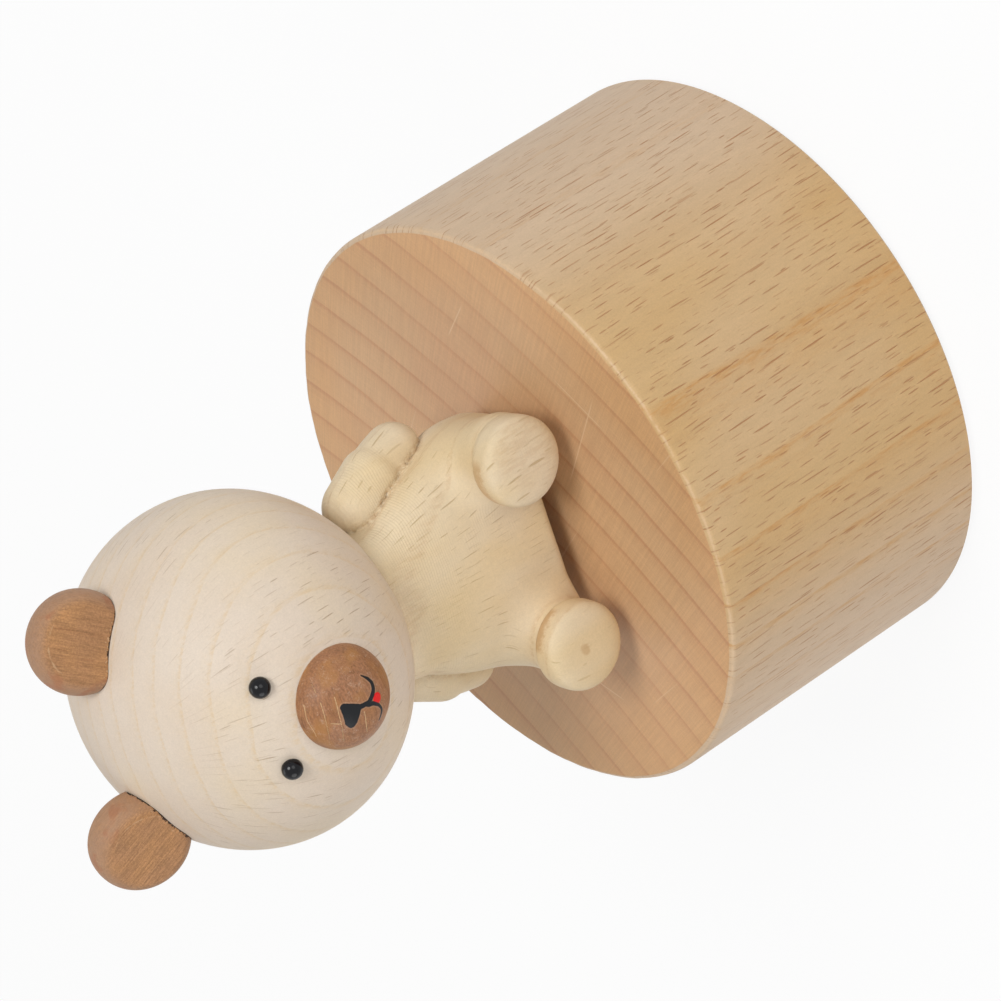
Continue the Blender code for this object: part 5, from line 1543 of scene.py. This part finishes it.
class Kind(Enum):
    """Finishes of the pieces whose shape stays as it is in the frame, named as the record's slots."""

    STEEL = PlainFinish("bright_steel", (0.62, 0.62, 0.63), (0.46, 0.46, 0.48), 0.30, 1.0, grain=1500.0,
                        stretch=(1.0, 1.0, 0.1))
    BRASS = PlainFinish("turned_brass", (0.76, 0.56, 0.25), (0.60, 0.42, 0.16), 0.30, 1.0, grain=1500.0,
                        stretch=(0.1, 1.0, 1.0))
    ZINC = PlainFinish("cast_zinc", (0.58, 0.59, 0.60), (0.44, 0.45, 0.46), 0.42, 0.9, grain=700.0,
                       depth=0.00003)
    NYLON = PlainFinish("moulded_nylon", (0.80, 0.79, 0.74), (0.72, 0.71, 0.65), 0.45, grain=500.0)
    FELT = PlainFinish("green_felt", (0.045, 0.105, 0.062), (0.020, 0.055, 0.032), 0.95, grain=2600.0,
                       depth=0.00012, contrast=0.9)
    PLY = PlainFinish("birch_plywood", (0.66, 0.50, 0.33), (0.48, 0.33, 0.19), 0.6, grain=420.0,
                      stretch=(0.06, 1.0, 9.0), depth=0.00004, contrast=0.8)
    DOWEL = PlainFinish("glued_dowel", (0.72, 0.58, 0.40), (0.60, 0.45, 0.28), 0.6, stretch=(1.0, 1.0, 0.15))
    BEAD = PlainFinish("black_bead", (0.004, 0.004, 0.006), (0.002, 0.002, 0.003), 0.13, grain=500.0,
                       depth=0.0, specular=0.25)


def dress_frame(finishes: dict[Kind, Material]) -> None:
    """Give every frame piece that stays its finish, by its slot in the record.

    Args:
        finishes: the built materials.
    """
    for entry in frame["record"]["subparts"]:
        kind = Kind.__members__.get(entry["material_slot"].upper())
        if kind is not None:
            materials = frame["nodes"][entry["node"]].data.materials
            materials.clear()
            materials.append(finishes[kind])


@dataclass
class Studio:
    """Pale floor, white surroundings, soft lamps and the photograph's camera.
    A lamp is its name, place, width and power."""

    radius: float
    level: float
    azimuth: float = math.radians(26.0)
    elevation: float = math.radians(30.447)
    roll: float = math.radians(-122.79)
    far: float = 19.5656
    aside: float = 0.0020
    above: float = 0.0008
    lens: float = 219.64
    sensor: float = 36.0
    nearest: float = 0.01
    world: float = 0.24
    floor_reach: float = 3.0
    floor_glow: float = 0.91
    floor_colour: Colour = (0.86, 0.86, 0.86)
    lamps: tuple[tuple[str, Spot, float, float], ...] = (
        ("key_lamp", (0.50, -0.30, 0.82), 0.45, 5.3), ("right_lamp", (-0.78, -0.46, 0.40), 0.7, 2.75),
        ("front_lamp", (0.50, -0.80, 0.25), 0.6, 1.9), ("back_lamp", (-0.10, 0.60, 0.80), 0.6, 1.3))

    def camera(self) -> None:
        """Place the camera: back along its azimuth and elevation, turned a little aside, then rolled."""
        back = Vector((0.0, -math.cos(self.elevation), math.sin(self.elevation))) * (self.far * self.radius)
        spot = Matrix.Rotation(self.azimuth, 3, "Z") @ back
        ahead = -spot.normalized()
        right = ahead.cross(Vector((0.0, 0.0, 1.0))).normalized()
        up = right.cross(ahead)
        ahead = (ahead + self.aside * right + self.above * up).normalized()
        right = (right - ahead * right.dot(ahead)).normalized()
        up = right.cross(ahead)
        across = math.cos(self.roll) * right + math.sin(self.roll) * up
        upward = -math.sin(self.roll) * right + math.cos(self.roll) * up
        data = bpy.data.cameras.new("camera")
        data.lens, data.sensor_width, data.clip_start = self.lens, self.sensor, self.nearest
        place = Matrix((across, upward, -ahead)).transposed().to_4x4()
        place.translation = spot + Vector((0.0, 0.0, self.level))
        item = hang("camera", data)
        item.matrix_world = place
        bpy.context.scene.camera = item

    def lamp(self, name: str, spot: Spot, size: float, power: float) -> None:
        """Hang a round soft lamp that faces the object.

        Args:
            name: the lamp's name.
            spot: its place.
            size: its width in metres.
            power: its power in watts.
        """
        data = bpy.data.lights.new(name, "AREA")
        data.shape, data.size, data.energy = "DISK", size, power
        item = hang(name, data)
        item.location = spot
        toward = Vector((0.0, 0.0, self.level)) - Vector(spot)
        item.rotation_euler = toward.to_track_quat("-Z", "Y").to_euler()

    def surroundings(self) -> None:
        """A world that shows white to the camera and lights the object softly."""
        nodes = Nodes(bpy.data.worlds.new("studio"))
        background = nodes.tree.nodes["Background"].inputs
        nodes.feed(background["Color"], WHITE)
        nodes.feed(background["Strength"], nodes.seen() * (1.0 - self.world) + self.world)
        bpy.context.scene.world = nodes.owner

    def floor(self) -> None:
        """A wide pale floor that shows nearly white to the camera and keeps the object's shadow."""
        corners = np.array([(-1.0, -1.0, 0.0), (1.0, -1.0, 0.0), (1.0, 1.0, 0.0), (-1.0, 1.0, 0.0)])
        mesh = surface("floor", corners * self.floor_reach, np.array([[0, 1, 2, 3]]))
        nodes = Nodes(bpy.data.materials.new("pale_floor"), self.floor_colour)
        mesh.materials.append(nodes.finish(0.9))
        plain = Value(nodes, nodes.tree.nodes["Principled BSDF"].outputs[0])
        glow = nodes.add("ShaderNodeEmission", {}, {"Color": WHITE, "Strength": 1.0})
        both = nodes.add("ShaderNodeMixShader", {}, {0: nodes.seen() * self.floor_glow, 1: plain, 2: glow})
        nodes.feed(nodes.tree.nodes["Material Output"].inputs["Surface"], both)
        hang("floor", mesh)

    def build(self) -> None:
        """Set up the whole studio."""
        self.camera()
        self.surroundings()
        self.floor()
        for lamp in self.lamps:
            self.lamp(*lamp)
        bpy.context.scene.view_settings.view_transform = "Standard"


def main() -> None:
    """Dress the whole part."""
    logging.basicConfig(level=logging.INFO, format="%(message)s")
    drum_low, drum_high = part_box("base_drum")
    head_low, head_high = (np.array(corner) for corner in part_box("bear_head"))
    body_low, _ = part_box("bear_body")
    radius, bottom, top = float(drum_high[0]), float(drum_low[2]), float(drum_high[2])
    Studio(radius, top).build()
    finishes = {kind: kind.value.build() for kind in Kind}
    dress_frame(finishes)
    CaseDrum(radius, bottom, top).build()
    bear = Bear(float(body_low[2]), (head_low + head_high) / 2.0, (head_high - head_low) / 2.0)
    Body(bear).build()
    Head(bear).build()
    for side in ("left", "right"):
        Ear(bear, side).build()
        Eye(bear, side).build(finishes[Kind.BEAD])
    Muzzle(bear).build()


if __name__ == "__main__":
    main()
